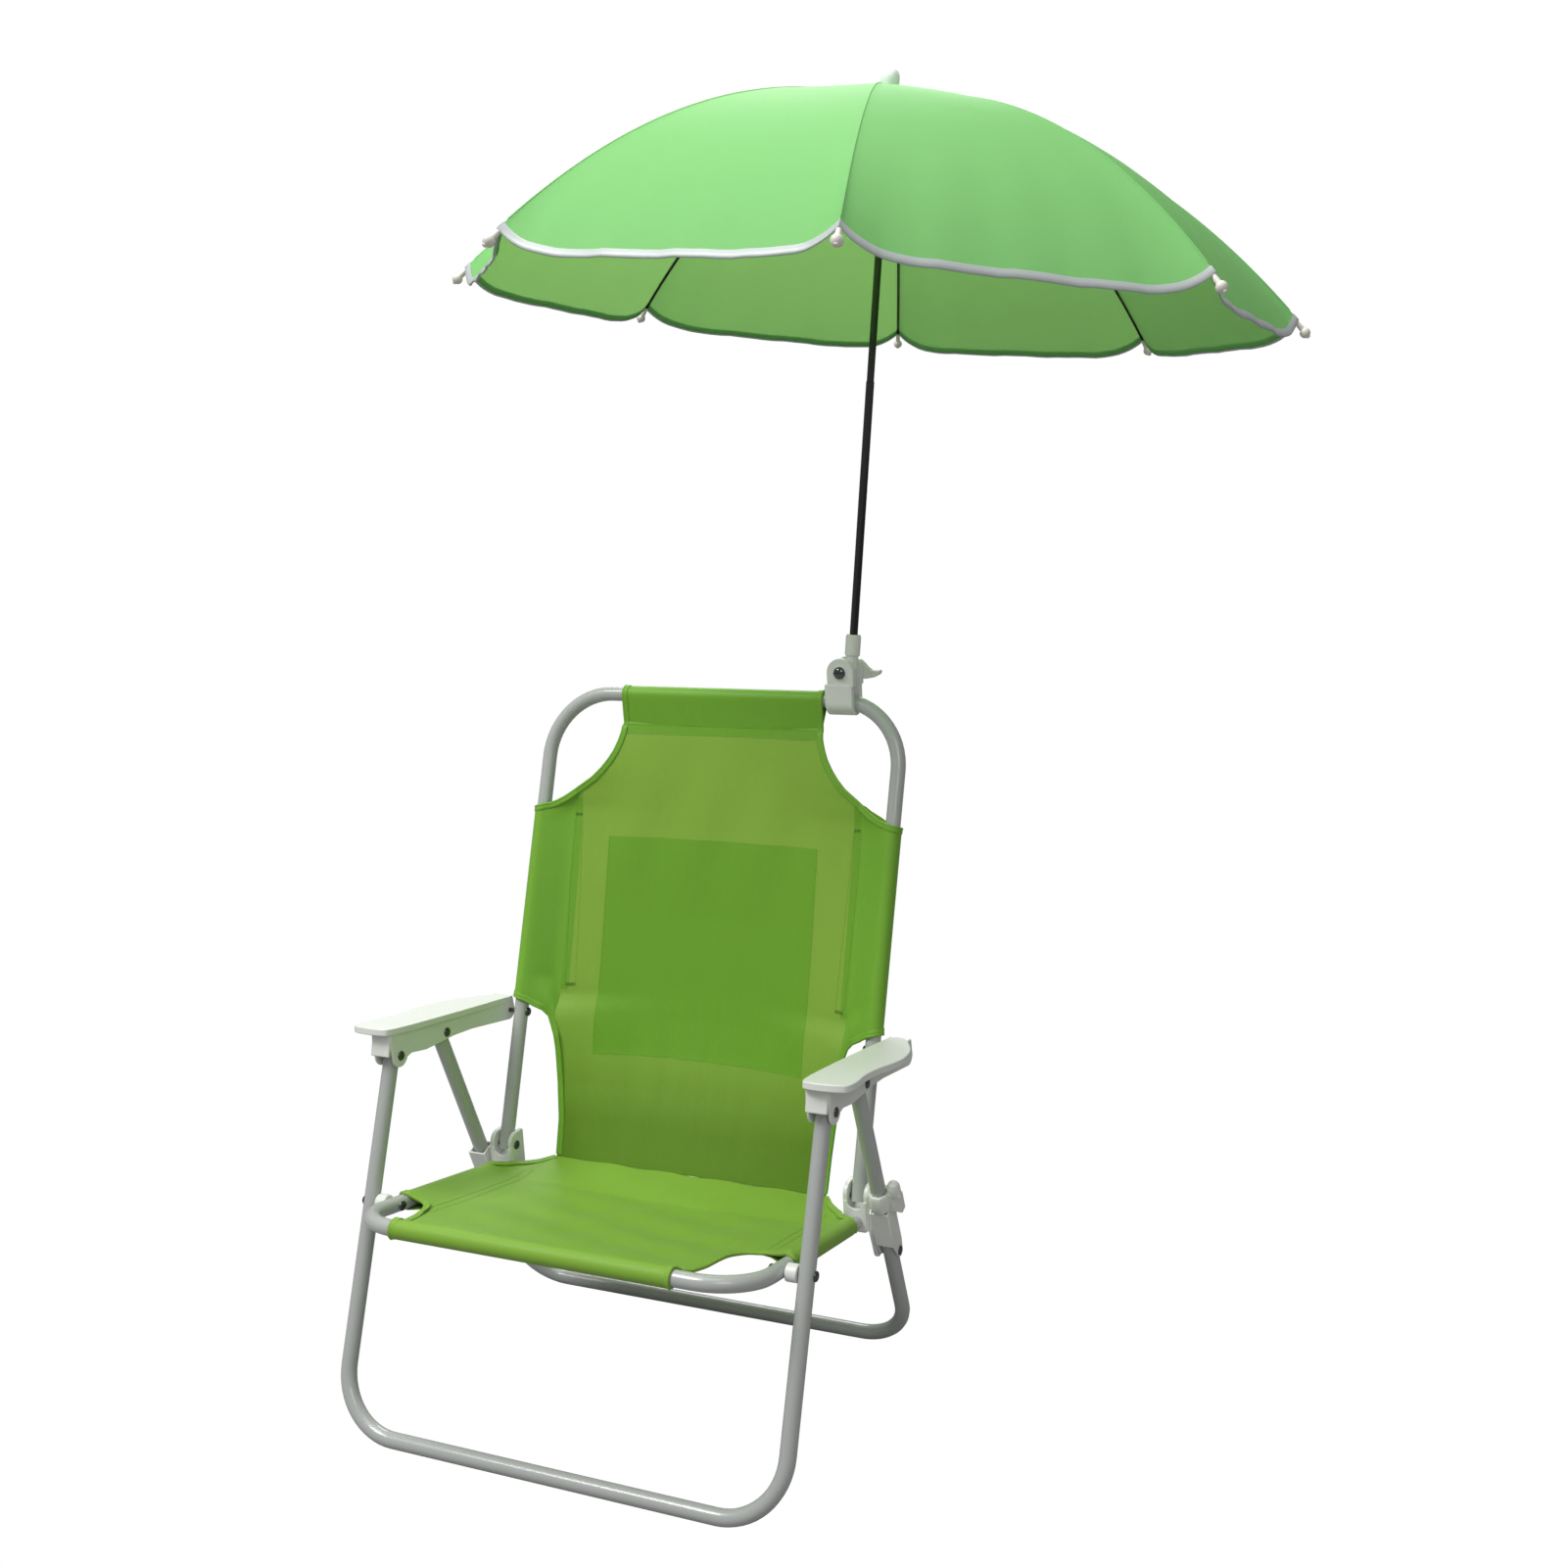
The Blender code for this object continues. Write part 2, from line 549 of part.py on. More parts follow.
def build_arm(word, side):
    name = f"arm_{word}"
    pad = slab_mesh(name, arm_pad_outline(side), -ARM_PAD_THICKNESS, 0, "Z")
    pad.transform(arm_frame())
    arm = add_part(name, pad, PALE_PLASTIC)
    low, high = ARM_WALL_INNER_X - ARM_WALL, ARM_WALL_OUTER_X + ARM_WALL
    skirt = add_cutter(f"{name}_skirt", slab_mesh("skirt", arm_skirt_outline(), *sorted((side * low, side * high))))
    boolean(arm, skirt, "UNION")
    # The channel is open below, and behind the front wall it lets both legs swing.
    channel_front = ARM_TOP_FRONT + ARM_ALONG * (ARM_PAD_THICKNESS + ARM_WALL)
    depth = ARM_PAD_THICKNESS + GAP
    roof_front = channel_front - ARM_UP * depth
    roof_rear = ARM_TOP_REAR + ARM_ALONG * CUT_OVERRUN - ARM_UP * depth
    floor = min(ARM_REAR_PIVOT[1], ARM_FRONT_PIVOT[1]) - TUBE_RADIUS * 4
    channel = [tuple(roof_front), (roof_front[0], floor), (roof_rear[0], floor), tuple(roof_rear)]
    low, high = sorted((side * ARM_WALL_INNER_X, side * ARM_WALL_OUTER_X))
    boolean(arm, add_cutter(f"{name}_channel", slab_mesh("channel", channel, low, high)))
    for pivot, hole in ((ARM_FRONT_PIVOT, "front"), (ARM_MIDDLE_PIVOT, "middle"), (ARM_REAR_PIVOT, "rear")):
        start = (side * (ARM_WALL_INNER_X - CUT_OVERRUN), pivot[0], pivot[1])
        reach = ARM_WALL_OUTER_X + CUT_OVERRUN
        if hole == "rear":
            reach = ARM_WALL_INNER_X + ARM_WALL
        end = (side * reach, pivot[0], pivot[1])
        boolean(arm, add_cutter(f"{name}_{hole}_hole", rod_mesh("hole", start, end, HOLE_RADIUS)))


def build_arms():
    low = ARM_WALL_INNER_X - ARM_WALL - GAP
    high = ARM_WALL_OUTER_X + ARM_WALL + GAP
    for word, side in SIDES:
        build_arm(word, side)
        rivet(f"arm_front_rivet_{word}", low, high, ARM_FRONT_PIVOT, side)
        rivet(f"arm_middle_rivet_{word}", low, high, ARM_MIDDLE_PIVOT, side)
        post_face = POST_HALF_WIDTH - TUBE_RADIUS - GAP
        wall_face = ARM_WALL_INNER_X + GAP
        rivet(f"arm_rear_rivet_{word}", post_face, wall_face, ARM_REAR_PIVOT, side)


# Seat brackets, leg guides and lock


def bracket_outline():
    """Side of the block that takes the rail end and carries the two ears, as (y, z)."""
    q = POST_PIVOT
    rail_front, rail_rear = rail_point(BRACKET_FRONT_Y), rail_point(BRACKET_REAR_Y)
    half = TUBE_RADIUS + BRACKET_WALL
    outline = [(BRACKET_FRONT_Y, rail_front[1] - half), (BRACKET_REAR_Y, rail_rear[1] - half)]
    outline += [(BRACKET_REAR_Y, q[1] + EAR_TOP - BRACKET_WALL / 2), (BRACKET_REAR_Y - BRACKET_WALL / 2, q[1] + EAR_TOP)]
    outline += arc((q[0] + BRACKET_WALL / 2, q[1] + EAR_TOP - EAR_RADIUS), EAR_RADIUS, 90, 160, 4)
    outline += [(q[0] - EAR_RADIUS, q[1] - BRACKET_WALL)]
    outline += [(BRACKET_FRONT_Y, rail_front[1] + half)]
    return outline


def plate_outline():
    """Side of the outer plate, which reaches down to the guide's pivot."""
    q, k = POST_PIVOT, GUIDE_PIVOT
    rail = rail_point(BRACKET_FRONT_Y)
    outline = arc(k, LOBE_RADIUS, 200, 360, 7)
    outline += [(BRACKET_REAR_Y + BRACKET_WALL * 2, q[1] - EAR_RADIUS), (BRACKET_REAR_Y, q[1])]
    outline += [(q[0] - EAR_RADIUS, q[1])]
    outline += [(BRACKET_FRONT_Y + BRACKET_WALL, rail[1] + TUBE_RADIUS)]
    outline += [(BRACKET_FRONT_Y + BRACKET_WALL, rail[1] - TUBE_RADIUS - BRACKET_WALL)]
    return outline


GUIDE_INNER_X = LEG_HALF_WIDTH - TUBE_RADIUS - GAP - GUIDE_WALL
GUIDE_OUTER_X = LEG_HALF_WIDTH + TUBE_RADIUS + GAP + GUIDE_WALL
BRACKET_OUTER_X = GUIDE_INNER_X - GAP
FOLD_DEGREES = 84


def post_slot_outline():
    """The room that the post needs between the ears, upright and folded forward on to the seat."""
    q = POST_PIVOT
    floor = q[1] - POST_STUB - BRACKET_WALL * 1.5
    post_angle = math.atan2(1, BACK_SLOPE_SHARE) + math.radians(FOLD_DEGREES)
    under = TUBE_RADIUS + GAP * 2
    along = Vector((math.cos(post_angle), math.sin(post_angle)))
    across = Vector((-along[1], along[0]))
    near = q + along * (TUBE_RADIUS * 1.1) + across * under
    far = q + along * (EAR_RADIUS * 5) + across * under
    front = q[0] - TUBE_RADIUS - GAP * 2
    high = q[1] + EAR_RADIUS * 3
    rear = BRACKET_REAR_Y + CUT_OVERRUN
    return [(rear, floor), (front, floor), tuple(near), tuple(far), (far[0], high), (rear, high)]


def build_bracket(word, side):
    name = f"seat_bracket_{word}"
    low, high = sorted((side * BRACKET_INNER_X, side * BRACKET_BLOCK_OUTER_X))
    bracket = add_part(name, slab_mesh(name, bracket_outline(), low, high), PALE_PLASTIC)
    low, high = sorted((side * BRACKET_PLATE_INNER_X, side * BRACKET_OUTER_X))
    boolean(bracket, add_cutter(f"{name}_plate", slab_mesh("plate", plate_outline(), low, high)), "UNION")
    low, high = side * POST_HALF_WIDTH - BRACKET_SLOT_HALF, side * POST_HALF_WIDTH + BRACKET_SLOT_HALF
    boolean(bracket, add_cutter(f"{name}_slot", slab_mesh("slot", post_slot_outline(), low, high)))
    start = rail_point(BRACKET_FRONT_Y - CUT_OVERRUN)
    end = rail_point(RAIL_END_Y + GAP)
    x = side * POST_HALF_WIDTH
    rail = rod_mesh("rail", (x, *start), (x, *end), TUBE_RADIUS + GAP, BORE_STEPS)
    boolean(bracket, add_cutter(f"{name}_rail", rail))
    blind = BRACKET_OUTER_X - GAP * 3
    for pivot, reach, hole in ((POST_PIVOT, blind, "post_hole"), (GUIDE_PIVOT, BRACKET_OUTER_X * 2, "guide_hole")):
        start = (side * (BRACKET_INNER_X - CUT_OVERRUN), pivot[0], pivot[1])
        end = (side * reach, pivot[0], pivot[1])
        boolean(bracket, add_cutter(f"{name}_{hole}", rod_mesh("hole", start, end, HOLE_RADIUS)))


def along_leg(height, forward=0.0):
    """A (y, z) point on the rear leg's line, measured up it from the guide's pivot."""
    ahead = Vector((-REAR_LEG_DOWN[1], REAR_LEG_DOWN[0]))
    ahead = -ahead if ahead[0] > 0 else ahead
    return GUIDE_PIVOT - REAR_LEG_DOWN * height + ahead * forward


def leg_block(foot, low, high, half, corner, back_corner):
    """Side outline of a block round the rear leg, with cut corners, as (y, z). foot is its lower front."""
    spots = list(foot) + [(high - corner, half), (high, half - corner)]
    spots += [(high, -half + back_corner), (high - back_corner, -half)]
    spots += [(low + back_corner, -half), (low, -half + back_corner)]
    return [tuple(along_leg(height, forward)) for height, forward in spots]


def leg_bore(name, x, low, high):
    start, end = along_leg(low - CUT_OVERRUN), along_leg(high + CUT_OVERRUN)
    return rod_mesh(name, (x, *start), (x, *end), TUBE_RADIUS + GAP, BORE_STEPS)


def build_guide(word, side):
    name = f"leg_guide_{word}"
    half = TUBE_RADIUS + GAP + GUIDE_WALL
    foot = [(-GUIDE_BELOW, 0), (0, half * 0.6), (GUIDE_FRONT_FOOT, half)]
    outline = leg_block(foot, -GUIDE_BELOW, GUIDE_ABOVE, half, GUIDE_WALL * 0.7, GUIDE_WALL * 0.6)
    low, high = sorted((side * GUIDE_INNER_X, side * GUIDE_OUTER_X))
    guide = add_part(name, slab_mesh(name, outline, low, high), PALE_PLASTIC)
    x = side * LEG_HALF_WIDTH
    boolean(guide, add_cutter(f"{name}_bore", leg_bore("bore", x, -GUIDE_BELOW, GUIDE_ABOVE)))
    start = (side * (GUIDE_INNER_X - CUT_OVERRUN), *GUIDE_PIVOT)
    end = (side * (GUIDE_INNER_X + GUIDE_WALL * 2), *GUIDE_PIVOT)
    boolean(guide, add_cutter(f"{name}_pin_hole", rod_mesh("hole", start, end, HOLE_RADIUS)))
    head = [(0, 0), (RIVET_HEAD_RADIUS, 0), (RIVET_HEAD_RADIUS, GAP * 4)]
    head += [(RIVET_HEAD_RADIUS * 0.6, RIVET_HEAD_HEIGHT + GAP * 3), (0, RIVET_HEAD_HEIGHT + GAP * 4)]
    start = (side * (GUIDE_OUTER_X - GAP * 2), *GUIDE_PIVOT)
    boss = turned_mesh("rivet_head", head, start, (side, 0, 0))
    boolean(guide, add_cutter(f"{name}_rivet_head", boss), "UNION")


def build_guide_pivot(word, side):
    """The pin that the guide turns on: its head inside the bracket's plate, its end in the guide's wall."""
    length = GUIDE_INNER_X + GUIDE_WALL - GAP - BRACKET_PLATE_INNER_X
    head, rise = RIVET_HEAD_RADIUS, RIVET_HEAD_HEIGHT
    profile = [(0, -rise - GAP), (head * 0.6, -rise), (head, -GAP), (RIVET_RADIUS, -GAP)]
    profile += [(RIVET_RADIUS, length), (0, length)]
    start = (side * BRACKET_PLATE_INNER_X, *GUIDE_PIVOT)
    name = f"guide_pin_{word}"
    add_part(name, turned_mesh(name, profile, start, (side, 0, 0)), RIVET_STEEL)


def build_post_pin(word, side):
    """The pin that the back turns on: a round head inside, its end blind in the outer ear."""
    length = BRACKET_OUTER_X - GAP * 4 - BRACKET_INNER_X
    head, rise = RIVET_HEAD_RADIUS, RIVET_HEAD_HEIGHT
    profile = [(0, -rise - GAP), (head * 0.6, -rise), (head, -GAP), (RIVET_RADIUS, -GAP)]
    profile += [(RIVET_RADIUS, length), (0, length)]
    start = (side * BRACKET_INNER_X, *POST_PIVOT)
    name = f"post_pin_{word}"
    add_part(name, turned_mesh(name, profile, start, (side, 0, 0)), RIVET_STEEL)


def build_lock():
    """The sliding lock on the right leg: a faceted collar with a thumb tab and a round knob."""
    low = GUIDE_ABOVE + GAP
    high = low + LOCK_HEIGHT
    half = TUBE_RADIUS + GAP + LOCK_WALL
    corner = LOCK_WALL * 0.8
    foot = [(low, half - corner), (low + corner, half)]
    outline = leg_block(foot, low, high, half, corner, LOCK_WALL * 0.6)
    inner, outer = LEG_HALF_WIDTH - half + LOCK_WALL - GUIDE_WALL, LEG_HALF_WIDTH + half
    lock = add_part("lock_sleeve", slab_mesh("lock_sleeve", outline, inner, outer), PALE_PLASTIC)
    tab_low, tab_high, tab_half = low + LOCK_WALL / 4, high - LOCK_WALL / 2, TAB_THICKNESS / 2
    tab = [(tab_low, tab_half), (tab_high, tab_half), (tab_high, -tab_half), (tab_low, -tab_half)]
    tab = [tuple(along_leg(height, forward)) for height, forward in tab]
    tab_mesh = slab_mesh("tab", tab, outer - LOCK_WALL / 2, outer + TAB_REACH)
    boolean(lock, add_cutter("lock_tab", tab_mesh), "UNION")
    knob_x = outer + KNOB_RADIUS * 0.8
    start = along_leg(high - LOCK_WALL)
    end = along_leg(high + KNOB_HEIGHT)
    knob = [(0, 0), (KNOB_RADIUS, 0), (KNOB_RADIUS, KNOB_HEIGHT), (KNOB_RADIUS * 0.7, KNOB_HEIGHT + LOCK_WALL / 2)]
    knob += [(0, KNOB_HEIGHT + LOCK_WALL * 0.7)]
    rise = end - start
    mesh = turned_mesh("knob", knob, (knob_x, *start), (0, rise[0], rise[1]), ROUND_STEPS)
    boolean(lock, add_cutter("lock_knob", mesh), "UNION")
    boolean(lock, add_cutter("lock_bore", leg_bore("bore", LEG_HALF_WIDTH, low, high + KNOB_HEIGHT)))


def build_brackets():
    for word, side in SIDES:
        build_bracket(word, side)
        build_post_pin(word, side)
        build_guide(word, side)
        build_guide_pivot(word, side)
    build_lock()


# Chair cloth


COLUMN_SHARES = tuple(2 * column / CLOTH_COLUMNS - 1 for column in range(CLOTH_COLUMNS + 1))


def lerp_table(table, key):
    """A straight-line reading from rows of (key, value, ...)."""
    ordered = sorted(table)
    if key <= ordered[0][0]:
        return ordered[0][1:]
    for low, high in zip(ordered, ordered[1:]):
        if key <= high[0]:
            share = (key - low[0]) / (high[0] - low[0])
            return tuple(a + (b - a) * share for a, b in zip(low[1:], high[1:]))
    return ordered[-1][1:]


def sheet_mesh(name, grid, inner, outer, extra=None):
    """A closed cloth sheet over a grid of points, between two distances along its normals.

    extra gives more thickness on the rear face at a point, for a pocket sewn on there."""
    rows, columns = len(grid), len(grid[0])

    def normal(r, c):
        down = grid[min(r + 1, rows - 1)][c] - grid[max(r - 1, 0)][c]
        over = grid[r][min(c + 1, columns - 1)] - grid[r][max(c - 1, 0)]
        return over.cross(down).normalized()

    bm = bmesh.new()
    layers = []
    for away in (inner, outer):
        layer = []
        for r in range(rows):
            spots = []
            for c in range(columns):
                more = extra(grid[r][c]) if extra and away == outer else 0
                spots.append(bm.verts.new(grid[r][c] + normal(r, c) * (away + more)))
            layer.append(spots)
        layers.append(layer)
    for layer in layers:
        for r in range(rows - 1):
            for c in range(columns - 1):
                bm.faces.new((layer[r][c], layer[r][c + 1], layer[r + 1][c + 1], layer[r + 1][c]))
    border = [(0, c) for c in range(columns)] + [(r, columns - 1) for r in range(1, rows)]
    border += [(rows - 1, c) for c in range(columns - 2, -1, -1)] + [(r, 0) for r in range(rows - 2, 0, -1)]
    for (r, c), (s, d) in zip(border, border[1:] + border[:1]):
        bm.faces.new((layers[0][r][c], layers[1][r][c], layers[1][s][d], layers[0][s][d]))
    return mesh_from(bm, name)


def cloth_height(share):
    """Height of a row of the back cloth."""
    reach = BACK_TOP_HEIGHT - SLEEVE_BOTTOM if share > 0 else SLEEVE_BOTTOM - CLOTH_BOTTOM
    return SLEEVE_BOTTOM + share * reach


def back_cloth_point(across, half, share):
    """Where the back cloth lies: on the frame's plane at its edges, bowed to the rear between them."""
    bow, base = (BACK_BOW * value for value in lerp_table(BACK_BOW_SHARES, share))
    z = cloth_height(share)
    plane = on_line(BACK_MIDDLE, BACK_SLOPE_SHARE, z)[0]
    return Vector((across * half, plane + base + (bow - base) * (1 - across ** 2), z))


def build_back_cloth():
    grid = []
    for share, width in BACK_EDGE_SHARES:
        half = TOP_SLEEVE_HALF + (POST_HALF_WIDTH - TOP_SLEEVE_HALF) * width
        grid.append([back_cloth_point(across, half, share) for across in COLUMN_SHARES])
    half = CLOTH_THICKNESS / 2
    cloth = add_part("back_cloth", sheet_mesh("back_cloth", grid, -half, half, pocket_depth), LIME_NYLON)
    radius = TUBE_RADIUS + GAP + CLOTH_THICKNESS
    top = rod_mesh("top_sleeve", (-TOP_SLEEVE_HALF, *TOP_BAR), (TOP_SLEEVE_HALF, *TOP_BAR), radius, BORE_STEPS)
    boolean(cloth, add_cutter("back_top_sleeve", top), "UNION")
    down = slope_direction(BACK_SLOPE_SHARE)
    sleeve_high = on_line(BACK_MIDDLE, BACK_SLOPE_SHARE, cloth_height(POST_SLEEVE_TOP_SHARE))
    sleeve_low = on_line(BACK_MIDDLE, BACK_SLOPE_SHARE, SLEEVE_BOTTOM)
    for word, side in SIDES:
        x = side * POST_HALF_WIDTH
        high, low = sleeve_high, sleeve_low
        sleeve = rod_mesh("post_sleeve", (x, *low), (x, *high), radius, BORE_STEPS)
        boolean(cloth, add_cutter(f"post_sleeve_{word}", sleeve), "UNION")
    for word, side in SIDES:
        x = side * POST_HALF_WIDTH
        high = sleeve_high + down * TUBE_RADIUS * 4
        low = sleeve_low - down * TUBE_RADIUS * 3
        bore = rod_mesh("post_bore", (x, *low), (x, *high), TUBE_RADIUS + GAP, BORE_STEPS)
        boolean(cloth, add_cutter(f"post_bore_{word}", bore))
    reach = TOP_SLEEVE_HALF + CUT_OVERRUN
    bore = rod_mesh("top_bore", (-reach, *TOP_BAR), (reach, *TOP_BAR), TUBE_RADIUS + GAP, BORE_STEPS)
    boolean(cloth, add_cutter("back_top_bore", bore))


def pocket_depth(point):
    low, high = cloth_height(POCKET_BOTTOM_SHARE), cloth_height(POCKET_TOP_SHARE)
    within = abs(point[0]) <= POST_HALF_WIDTH * POCKET_WIDTH_SHARE and low <= point[2] <= high
    return CLOTH_THICKNESS if within else 0


def seat_cloth_height(y):
    """The height of the seat cloth's edges: along the rails, then level with the back cloth's lower edge."""
    leave, seam = rail_point(RAIL_SLEEVE_REAR), Vector((SEAT_CLOTH_REAR, CLOTH_BOTTOM - SEAM_STEP))
    if y <= leave[0]:
        return rail_point(y)[1]
    return leave.lerp(seam, (y - leave[0]) / (seam[0] - leave[0]))[1]


def seat_cloth_point(across, half, share):
    """Where the seat cloth lies: level with the rails at its edges, sagging between them."""
    sag, base = (SEAT_SAG * value for value in lerp_table(SEAT_SAG_SHARES, share))
    y = SEAT_FRONT_Y + share * (SEAT_CLOTH_REAR - SEAT_FRONT_Y)
    plane = seat_cloth_height(y)
    return Vector((across * half, y, plane - base - (sag - base) * (1 - across ** 2)))


def build_seat_cloth():
    grid = []
    for share, width in SEAT_EDGE_SHARES:
        half = FRONT_SLEEVE_HALF + (POST_HALF_WIDTH - FRONT_SLEEVE_HALF) * width
        grid.append([seat_cloth_point(across, half, share) for across in COLUMN_SHARES])
    mesh = sheet_mesh("seat_cloth", grid, -CLOTH_THICKNESS / 2, CLOTH_THICKNESS / 2)
    cloth = add_part("seat_cloth", mesh, LIME_NYLON)
    radius = TUBE_RADIUS + GAP + CLOTH_THICKNESS
    half_front = FRONT_SLEEVE_HALF
    bar = rail_point(SEAT_FRONT_Y)
    sleeve = rod_mesh("front_sleeve", (-half_front, *bar), (half_front, *bar), radius, BORE_STEPS)
    boolean(cloth, add_cutter("seat_front_sleeve", sleeve), "UNION")
    for word, side in SIDES:
        x = side * POST_HALF_WIDTH
        start, end = rail_point(RAIL_SLEEVE_FRONT), rail_point(RAIL_SLEEVE_REAR)
        sleeve = rod_mesh("rail_sleeve", (x, *start), (x, *end), radius, BORE_STEPS)
        boolean(cloth, add_cutter(f"rail_sleeve_{word}", sleeve), "UNION")
    for word, side in SIDES:
        x = side * POST_HALF_WIDTH
        start = rail_point(RAIL_SLEEVE_FRONT) - RAIL_DIRECTION * TUBE_RADIUS * 2
        end = rail_point(RAIL_SLEEVE_REAR) + RAIL_DIRECTION * TUBE_RADIUS * 4
        bore = rod_mesh("rail_bore", (x, *start), (x, *end), TUBE_RADIUS + GAP, BORE_STEPS)
        boolean(cloth, add_cutter(f"rail_bore_{word}", bore))
        # The cloth is cut away round the spacer and the head of the rail's rivet.
        low = POST_HALF_WIDTH - TUBE_RADIUS - RIVET_HEAD_HEIGHT * 2
        start = (side * low, *SEAT_PIVOT)
        end = (side * (LEG_HALF_WIDTH + CUT_OVERRUN), *SEAT_PIVOT)
        window = rod_mesh("rivet_window", start, end, TUBE_RADIUS + GAP * 5, ROUND_STEPS)
        boolean(cloth, add_cutter(f"rivet_window_{word}", window))
    reach = half_front + CUT_OVERRUN
    bore = rod_mesh("front_bore", (-reach, *bar), (reach, *bar), TUBE_RADIUS + GAP, BORE_STEPS)
    boolean(cloth, add_cutter("seat_front_bore", bore))


# Umbrella clamp


BOLT_POINT = Vector((CLAMP_X + BOLT_SHIFT_X, TOP_BAR[0], TOP_BAR[1] + BOLT_HEIGHT))


def build_clamp():
    """A block hooked under the bar where it begins to bend, with two cheeks above for the socket's eye."""
    y, z = TOP_BAR
    mouth, outer = CLAMP_MOUTH_HALF, CLAMP_OUTER_RADIUS
    high = BOLT_POINT[2] + CHEEK_HALF_WIDTH + CUT_OVERRUN
    outline = [(y - outer, high)] + arc((y, z), outer, 180, 360, 14)
    outline += [(y + outer, high), (y + mouth, high), (y + mouth, z), (y - mouth, z), (y - mouth, high)]
    low, far = CLAMP_X - CLAMP_HALF_LENGTH, CLAMP_X + CLAMP_HALF_LENGTH
    beyond = BOLT_SHIFT_X + CUT_OVERRUN
    clamp = add_part("bar_clamp", slab_mesh("bar_clamp", outline, low - beyond, far + beyond), PALE_PLASTIC)
    step = z + CHEEK_STEP_HEIGHT
    under = z - outer - CUT_OVERRUN
    front = [(low, under), (far, under), (far, step), (BOLT_POINT[0] + CHEEK_HALF_WIDTH, step)]
    front += arc((BOLT_POINT[0], BOLT_POINT[2]), CHEEK_HALF_WIDTH, 0, 180, 10)
    front += [(BOLT_POINT[0] - CHEEK_HALF_WIDTH, step), (low, step)]
    reach = outer + CUT_OVERRUN
    shape = slab_mesh("clamp_front", front, y - reach, y + reach, "Y")
    boolean(clamp, add_cutter("clamp_front", shape), "INTERSECT")
    bar = tube_mesh("bar", back_frame_points(), TUBE_RADIUS + GAP)
    boolean(clamp, add_cutter("clamp_bar", bar))
    start = BOLT_POINT - Vector((0, reach, 0))
    end = BOLT_POINT + Vector((0, reach, 0))
    boolean(clamp, add_cutter("clamp_bolt_hole", rod_mesh("hole", start, end, BOLT_RADIUS + GAP, BORE_STEPS)))


def build_bolt():
    """Round-headed bolt through both cheeks and the socket's eye, its end inside the lever."""
    front = CLAMP_OUTER_RADIUS + GAP
    length = front + CLAMP_OUTER_RADIUS + LEVER_THICKNESS * 0.6
    head, rise = BOLT_HEAD_RADIUS, BOLT_HEAD_HEIGHT
    profile = [(0, -rise), (head * 0.45, -rise * 0.93), (head * 0.8, -rise * 0.65), (head, -rise * 0.25), (head, 0)]
    profile += [(BOLT_RADIUS, 0), (BOLT_RADIUS, length), (0, length)]
    start = BOLT_POINT - Vector((0, front, 0))
    add_part("clamp_bolt", turned_mesh("clamp_bolt", profile, start, (0, 1, 0), ROUND_STEPS * 2), CHROME)


def build_lever():
    x, z = BOLT_POINT[0], BOLT_POINT[2]
    low = BOLT_POINT[1] + CLAMP_OUTER_RADIUS + GAP
    hub, tip = LEVER_HUB_RADIUS, LEVER_TIP_RADIUS
    tip_x, tip_z = x + LEVER_REACH - tip, z - LEVER_TIP_RADIUS * 1.5
    outline = arc((x, z), hub, 60, 295, 10)
    outline += arc((tip_x, tip_z), tip, -85, 85, 4)
    lever = add_part("clamp_lever", slab_mesh("clamp_lever", outline, low, low + LEVER_THICKNESS, "Y"), PALE_PLASTIC)
    end = BOLT_POINT[1] + CLAMP_OUTER_RADIUS + LEVER_THICKNESS * 0.6 + GAP
    start = (x, low - CUT_OVERRUN, z)
    hole = rod_mesh("hole", start, (x, end, z), BOLT_RADIUS + GAP, BORE_STEPS)
    boolean(lever, add_cutter("lever_hole", hole))


# Umbrella


POLE_UP = Vector((POLE_LEAN_X_SHARE, POLE_LEAN_Y_SHARE, 1)).normalized()
POLE_FOOT = BOLT_POINT + Vector((SOCKET_SHIFT_X, 0, 0))
ACROSS = Vector((0, 1, 0)).cross(POLE_UP).normalized()
BEHIND = POLE_UP.cross(ACROSS)
APEX = RIM_HEIGHT + CROWN_RISE


def umbrella_frame():
    """The matrix from the umbrella's own frame, its pole upright, to the chair's."""
    matrix = Matrix.Identity(4)
    for column, axis in enumerate((ACROSS, BEHIND, POLE_UP, POLE_FOOT)):
        for row in range(3):
            matrix[row][column] = axis[row]
    return matrix


UMBRELLA = umbrella_frame()


def add_umbrella_part(name, mesh, finish, smooth=True):
    mesh.transform(UMBRELLA)
    return add_part(name, mesh, finish, smooth)


def dome(radius):
    """Height of the cloth over a rib."""
    return RIM_HEIGHT + CROWN_RISE * (1 - (radius / RIM_RADIUS) ** DOME_POWER)


def rib_axis(radius):
    """Height of a rib's middle line, clear of the cloth square to its slope."""
    slope = DOME_POWER * CROWN_RISE / RIM_RADIUS * (radius / RIM_RADIUS) ** (DOME_POWER - 1)
    return dome(radius) - (RIB_RADIUS + CANOPY_THICKNESS / 2 + GAP * 2) * math.hypot(1, slope)


def spoke(number, radius, height, aside=0.0):
    """A point at a radius on one rib's plane, moved sideways if asked."""
    angle = math.radians(FIRST_RIB_DEGREES + number * 360 / RIB_COUNT)
    out, along = Vector((math.cos(angle), math.sin(angle), 0)), Vector((-math.sin(angle), math.cos(angle), 0))
    return out * radius + along * aside + Vector((0, 0, height))


